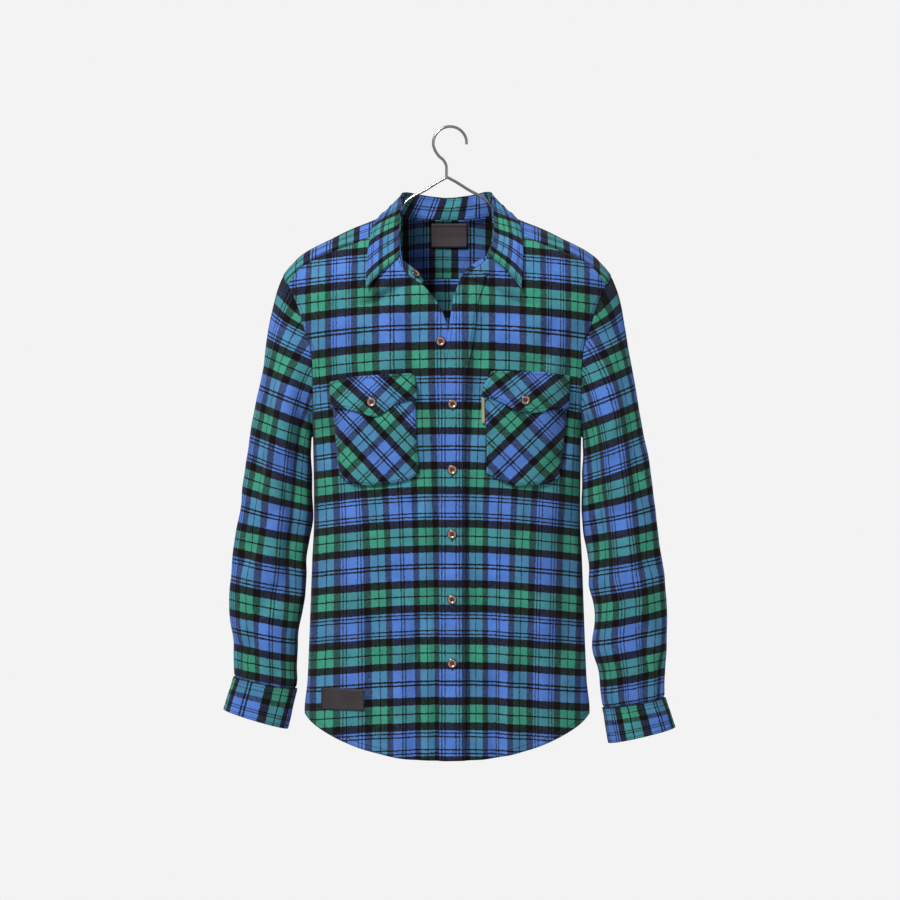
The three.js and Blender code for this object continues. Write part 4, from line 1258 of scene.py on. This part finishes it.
# %% [markdown]
# ## Labels
# All are blank here: a woven neck label inside the yoke, a patch at the hem and a folded tab in the
# seam of the right pocket.

# %% Woven labels
def woven(name, colour):
    """Woven polyester tape: fine ribs that catch a little light."""
    made, tree = new_material(name)
    # Ribs 0.5 mm apart, drawn at 1 mm so that they show.
    ribs = add_node(tree, "ShaderNodeTexWave", {
        "Vector": own_space(tree), "Scale": 160, "Distortion": 0.4}, bands_direction="Z")
    mixed = maths(tree, "ADD", ribs.outputs["Fac"], grain(tree, 900, 2))
    bright = remap(tree, mixed, 0, 2, 0.7, 1.3)
    finish_material(tree, scale_colour(tree, linear(colour)[:3], bright), 0.6,
                    Specular_IOR_Level=0.2, Normal=rough_surface(tree, mixed, 0.3, 0.0003))
    return made


LABEL_THICK, LABEL_LEAST = 0.9, 10
LABEL_TURN = (3, 2)  # mm of tape turned in across and up
LABELS = [
    # name, node, slot, colour, face, x from and to, z from and to, lift, what it is sewn to
    ("neck_label_tape", "neck_label", "label", "#2e282b", "back", -22, 28, -160, -126.5, -2.2,
     "yoke_cloth"),
    ("hem_patch_tape", "hem_patch", "label", "#150f12", "front", -170, -112, -797, -768, 1.8,
     "front_left_cloth"),
    ("pocket_tab_tape", "pocket_tab", "tab", "#5d5747", "front", 48.3, 51.7, -409, -374, 3.6,
     "pocket_right_cloth"),
]
for name, node, slot, colour, face, x0, x1, z0, z1, lift, under in LABELS:
    tape_mesh = grid_mesh(
        24, 12, lambda a, b: on_body(face, lerp(x0, x1, a), lerp(z0, z1, b), lift),
        lambda a, b, p: (a, b))
    area = sum(side.calc_area() for side in tape_mesh.faces)
    tape = link_piece(name, tape_mesh, woven(name + "_weave", colour), slot)
    thicken(tape, LABEL_THICK)
    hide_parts(node)
    flat = (max(LABEL_LEAST, x1 - x0 + LABEL_TURN[0]) * MM, (z1 - z0 + LABEL_TURN[1]) * MM)
print(len(LABELS), "labels")

# %% [markdown]
# ## Sleeve plackets
# A strip binds the slit at the back of each sleeve, above the cuff.

# %% Sleeve plackets
STRIP_TURNS, STRIP_ROWS = (0.655, 0.715), (0.03, 0.27)
STRIP_LONG, STRIP_WIDE = 130, 20


def surface(rule, a, b, step=0.004):
    """A point of a rule's surface and its normal, across the way a and up the way b."""
    across = rule(a + step, b) - rule(a - step, b)
    up = rule(a, b + step) - rule(a, b - step)
    return rule(a, b), across.cross(up).normalized()


def strip_rule(side):
    out = WAY[side] * LAYER

    def rule(across, up):
        place, normal = surface(SLEEVE_RULE[side], lerp(*STRIP_TURNS, across),
                                lerp(*STRIP_ROWS, up))
        return place + normal * out
    return rule


for side in SLEEVE:
    cloth(f"sleeve_placket_{side}_cloth",
          grid_mesh(8, 40, strip_rule(side),
                    lambda a, b, p: (PAIRED_BLUE + b * STRIP_LONG / WARP_SHARE,
                                     FIRST_GREEN + a * STRIP_WIDE)),
          f"sleeve_placket_{side}",
          flip=side == "left")

# %% [markdown]
# ## Stitches
# Each seam that shows has a row of machine stitches in dark thread. A stitch is a short tapered
# bar, and the rows follow the same rules as the cloth that they hold.

# %% Thread
# Spun cotton thread, dyed dark blue, matt. The dark discs of painted shade in the button holes use
# it too.
thread, tree = new_material("dyed_cotton_thread")
shade = add_node(tree, "ShaderNodeMix", {
    "Factor": grain(tree, 900, 1), "A": linear("#0c0e18"), "B": linear("#1f2a4a")},
    data_type="RGBA")
finish_material(tree, shade.outputs["Result"], 0.8, Specular_IOR_Level=0.1)

STITCH_PITCH, STITCH_LONG, STITCH_THICK = 3.3, 2.5, 0.38
SKIN = CLOTH / 2 + 0.1


def bar(mesh, centre, way, length, thick):
    turned = way.to_track_quat("Z", "Y").to_matrix().to_4x4()
    bmesh.ops.create_cone(mesh, cap_ends=True, segments=5, radius1=thick * MM,
                          radius2=thick * 0.6 * MM, depth=length * MM,
                          matrix=Matrix.Translation(centre * MM) @ turned)


def sew(mesh, line, pitch=STITCH_PITCH, length=STITCH_LONG, crosswise=False):
    """A row of stitches along a line of points with their normals."""
    ahead = pitch / 2
    for (here, normal), (after, _) in zip(line, line[1:]):
        step = after - here
        while ahead < step.length:
            way = step.cross(normal) if crosswise else step
            bar(mesh, here + step.normalized() * ahead, way, length, STITCH_THICK)
            ahead += pitch
        ahead -= step.length


def body_line(face, places, lift):
    return [(on_body(face, x, z, lift(x) if callable(lift) else lift), body_normal(face, x, z))
            for x, z in places]


def rule_line(rule, start, end, lift, steps):
    line = []
    for i in range(steps + 1):
        place, normal = surface(rule, lerp(start[0], end[0], i / steps),
                                lerp(start[1], end[1], i / steps))
        line.append((place + normal * lift, normal))
    return line


def sew_corners(mesh, rule, corners, lift, steps=60):
    """Rows of stitches over a rule's grid, from corner to corner."""
    for start, end in zip(corners, corners[1:]):
        sew(mesh, rule_line(rule, start, end, lift, steps))


def spaced(start, end, step=4):
    count = max(2, round(abs(end - start) / step))
    return [lerp(start, end, i / count) for i in range(count + 1)]


# %% Rows of stitches
HEM_FOLD, EDGE = 8, 4
mesh = bmesh.new()
for face, start, end, lift in [("front", -190, -10, lambda x: SKIN + under_lift(x)),
                               ("front", 26, 190, SKIN), ("back", -192, 192, SKIN)]:
    hem = getattr(HEM, face)
    places = [(x, hem(abs(x)) + HEM_FOLD) for x in spaced(start, end)]
    sew(mesh, body_line(face, places, lift))
for inset in (EDGE, BAND_WIDTH - EDGE):
    places = [(FRONT_EDGE["right"].x(z) + inset, z) for z in spaced(-856, -208)]
    sew(mesh, body_line("front", places, LAYER + SKIN + 1.0))
for way in WAY.values():
    for face, top in (("front", -232), ("back", -255)):
        seam = getattr(ARMHOLE, face)
        places = [(way * (seam(z) - EDGE), z) for z in spaced(-415, top)]
        sew(mesh, body_line(face, places, SKIN))
sew_corners(mesh, yoke_rule, [(0.02, 0.035), (0.325, 0.035)], SKIN)
sew_corners(mesh, yoke_rule, [(0.675, 0.035), (0.98, 0.035)], SKIN)
sew_corners(mesh, yoke_rule, [(0.02, 0.97), (0.98, 0.97)], SKIN, steps=120)
for bag, flap in POCKET_RULES:
    sew_corners(mesh, bag, [(0.03, 0.98), (0.03, 0.03), (0.97, 0.03), (0.97, 0.98)], SKIN)
    sew_corners(mesh, flap, [(0.045, 0.95), (0.045, 0.1), (0.955, 0.1), (0.955, 0.95)], SKIN)
    sew_corners(mesh, flap, [(0.045, 0.94), (0.955, 0.94)], SKIN)
sew_corners(mesh, leaf_point, [(0.012, 0.1), (0.012, 0.92), (0.988, 0.92), (0.988, 0.1)], 0.9,
            steps=120)
for up in (0.12, 0.9):
    sew(mesh, [(stand_point(i / 120, up, -1), Vector((0, 1, 0))) for i in range(1, 120)])
for side in CUFF:
    for down in (0.08, 0.92):
        line = [(cuff_point(side, CUFF_START + a * (1 + CUFF_LAP), down, 2 * a + 0.5), None)
                for a in spaced(0.01, 0.99, 0.01)]
        sew(mesh, line)
print(len(mesh.faces), "faces of thread")
link_piece("seam_stitches", mesh, thread, "flannel")

# %% [markdown]
# ## Buttons
# Polished brown horn with a raised rim, painted darker in its dished middle as shade, four holes
# shown as dark discs of painted shade, and dark thread. A button stands on the cloth at its place,
# and a stitched buttonhole shows under it where there is one.

# %% Horn
BUTTON_RADIUS = 6.6
# Colours from the middle to the rim, by their share of the radius. The dark middle is painted shade
# # of the dished centre; tan horn over the raised rim, and darker again at its outer edge.
HORN_AND_SHADE_RINGS = [(0.0, "#100a08"), (0.46, "#140c09"), (0.56, "#54311e"), (0.8, "#69422a"),
              (0.9, "#26150f"), (0.97, "#0d0707")]
RING_SPAN = 1.1  # the share that the ramp's end stands for
# Horn colour, with painted shade in the dished middle.
horn, tree = new_material("polished_brown_horn_and_dish_shade")
uv = add_node(tree, "ShaderNodeUVMap", uv_map="cloth")
split = add_node(tree, "ShaderNodeSeparateXYZ", {0: uv.outputs[0]})
radius = maths(tree, "MULTIPLY", split.outputs["X"], 1 / (BUTTON_RADIUS * MM))
# Light and dark streaks, a few millimetres long.
uneven = maths(tree, "MULTIPLY_ADD", grain(tree, 260, 3), 0.16, radius)
ramp = add_node(tree, "ShaderNodeValToRGB",
                {"Fac": maths(tree, "MULTIPLY", uneven, 1 / RING_SPAN)})
for i, (at, colour) in enumerate(HORN_AND_SHADE_RINGS):
    stops = ramp.color_ramp.elements
    stop = stops[i] if i < 2 else stops.new(at)
    stop.position = at / RING_SPAN
    stop.color = linear(colour)
finish_material(tree, ramp.outputs["Color"], 0.22, Specular_IOR_Level=0.5, Coat_Weight=0.4,
                Coat_Roughness=0.1)

# %% Buttons
BUTTON_PROFILE = table("step radius height", [
    (0, 0, 1.3), (1, 2.9, 1.3), (2, 3.6, 1.5), (3, 4.3, 2.1), (4, 5.1, 2.5), (5, 5.8, 2.35),
    (6, 6.3, 1.8), (7, BUTTON_RADIUS, 1.1), (8, 6.3, 0.4), (9, 5.4, 0), (10, 0, 0),
])
LAST_STEP = 10
# The holes are not cut: thin dark discs of thread colour sit in them as painted shade.
HOLE_APART, HOLE_RADIUS, HOLE_HEIGHT, HOLE_THICK = 1.6, 0.85, 1.35, 0.15
STRAND_LIFT, STRAND_LONG, STRAND_THICK = 0.3, 3.6, 0.5


def button(node, place, out):
    """A button with its back at a place on the cloth, facing the way out."""
    turned = out.to_track_quat("Z", "Y")

    def rule(across, up):
        radius = BUTTON_PROFILE.radius(up * LAST_STEP)
        angle = -2 * math.pi * across
        return place + turned @ Vector((radius * math.cos(angle), radius * math.sin(angle),
                                        BUTTON_PROFILE.height(up * LAST_STEP)))
    mesh = grid_mesh(
        28, LAST_STEP, rule,
        lambda a, b, p: (BUTTON_PROFILE.radius(b * LAST_STEP) / WARP_SHARE, 0), closed=True)
    bmesh.ops.recalc_face_normals(mesh, faces=mesh.faces)
    made = link_piece(node + "_horn", mesh, horn, "button")
    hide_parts(node)
    # Four dark discs at the holes: painted shade of the holes.
    for x, y in ((-1, -1), (1, -1), (1, 1), (-1, 1)):
        spot = Vector((x * HOLE_APART, y * HOLE_APART, HOLE_HEIGHT))
        bmesh.ops.create_cone(
            button_thread_and_hole_shade, cap_ends=True, segments=10, radius1=HOLE_RADIUS * MM,
            radius2=HOLE_RADIUS * MM, depth=HOLE_THICK * MM,
            matrix=Matrix.Translation((place + turned @ spot) * MM)
            @ turned.to_matrix().to_4x4())
    for x in (-1, 1):
        spot = Vector((x * HOLE_APART, 0, HOLE_HEIGHT + STRAND_LIFT))
        bar(button_thread_and_hole_shade, place + turned @ spot, turned @ Vector((0, 1, 0)), STRAND_LONG,
            STRAND_THICK)


# Thread of the buttons and buttonholes, and the dark hole discs of painted shade.
button_thread_and_hole_shade = bmesh.new()
BUTTON_CLEAR, UNDER_SUNK = 0.2, 2
BUTTON_X = 7.2
FRONT_BUTTONS = [
    # name, x, z, lift
    *[(f"front_button_{i + 2}", BUTTON_X, z, LAYER + 2)
      for i, z in enumerate([-382, -471, -557.5, -646, -732.5])],
    ("front_button_1", -8.5, -298, SKIN + BUTTON_CLEAR - UNDER_SUNK),
    *[(f"flap_button_{side}", x, z, flap_lift(side)(x, z) + SKIN + BUTTON_CLEAR)
      for side, x, z in (("left", -101, -379.5), ("right", 104, -376))],
]
for name, x, z, lift in FRONT_BUTTONS:
    button(name, on_body("front", x, z, lift), body_normal("front", x, z))
    if x == BUTTON_X:
        hole = body_line("front", [(x, z + 6), (x, z - 10)], LAYER + SKIN + BAND_ROLL)
        sew(button_thread_and_hole_shade, hole, pitch=0.9, length=2.8, crosswise=True)
STUD = dict(share=0.032, up=0.5)
out = (stand_point(**STUD, lift=1) - stand_point(**STUD)).normalized()
button("collar_button", stand_point(**STUD, lift=1.8), out)
for side in CUFF:
    turn = CUFF_START + CUFF_LAP * 0.45 + 1
    place = cuff_point(side, turn, 0.5, 2.6)
    button(f"cuff_button_{side}", place, (place - cuff_point(side, turn, 0.5, 0)).normalized())
link_piece("button_stitches_and_hole_shade", button_thread_and_hole_shade, thread, "flannel")

# %% Update the scene
bpy.context.view_layer.update()
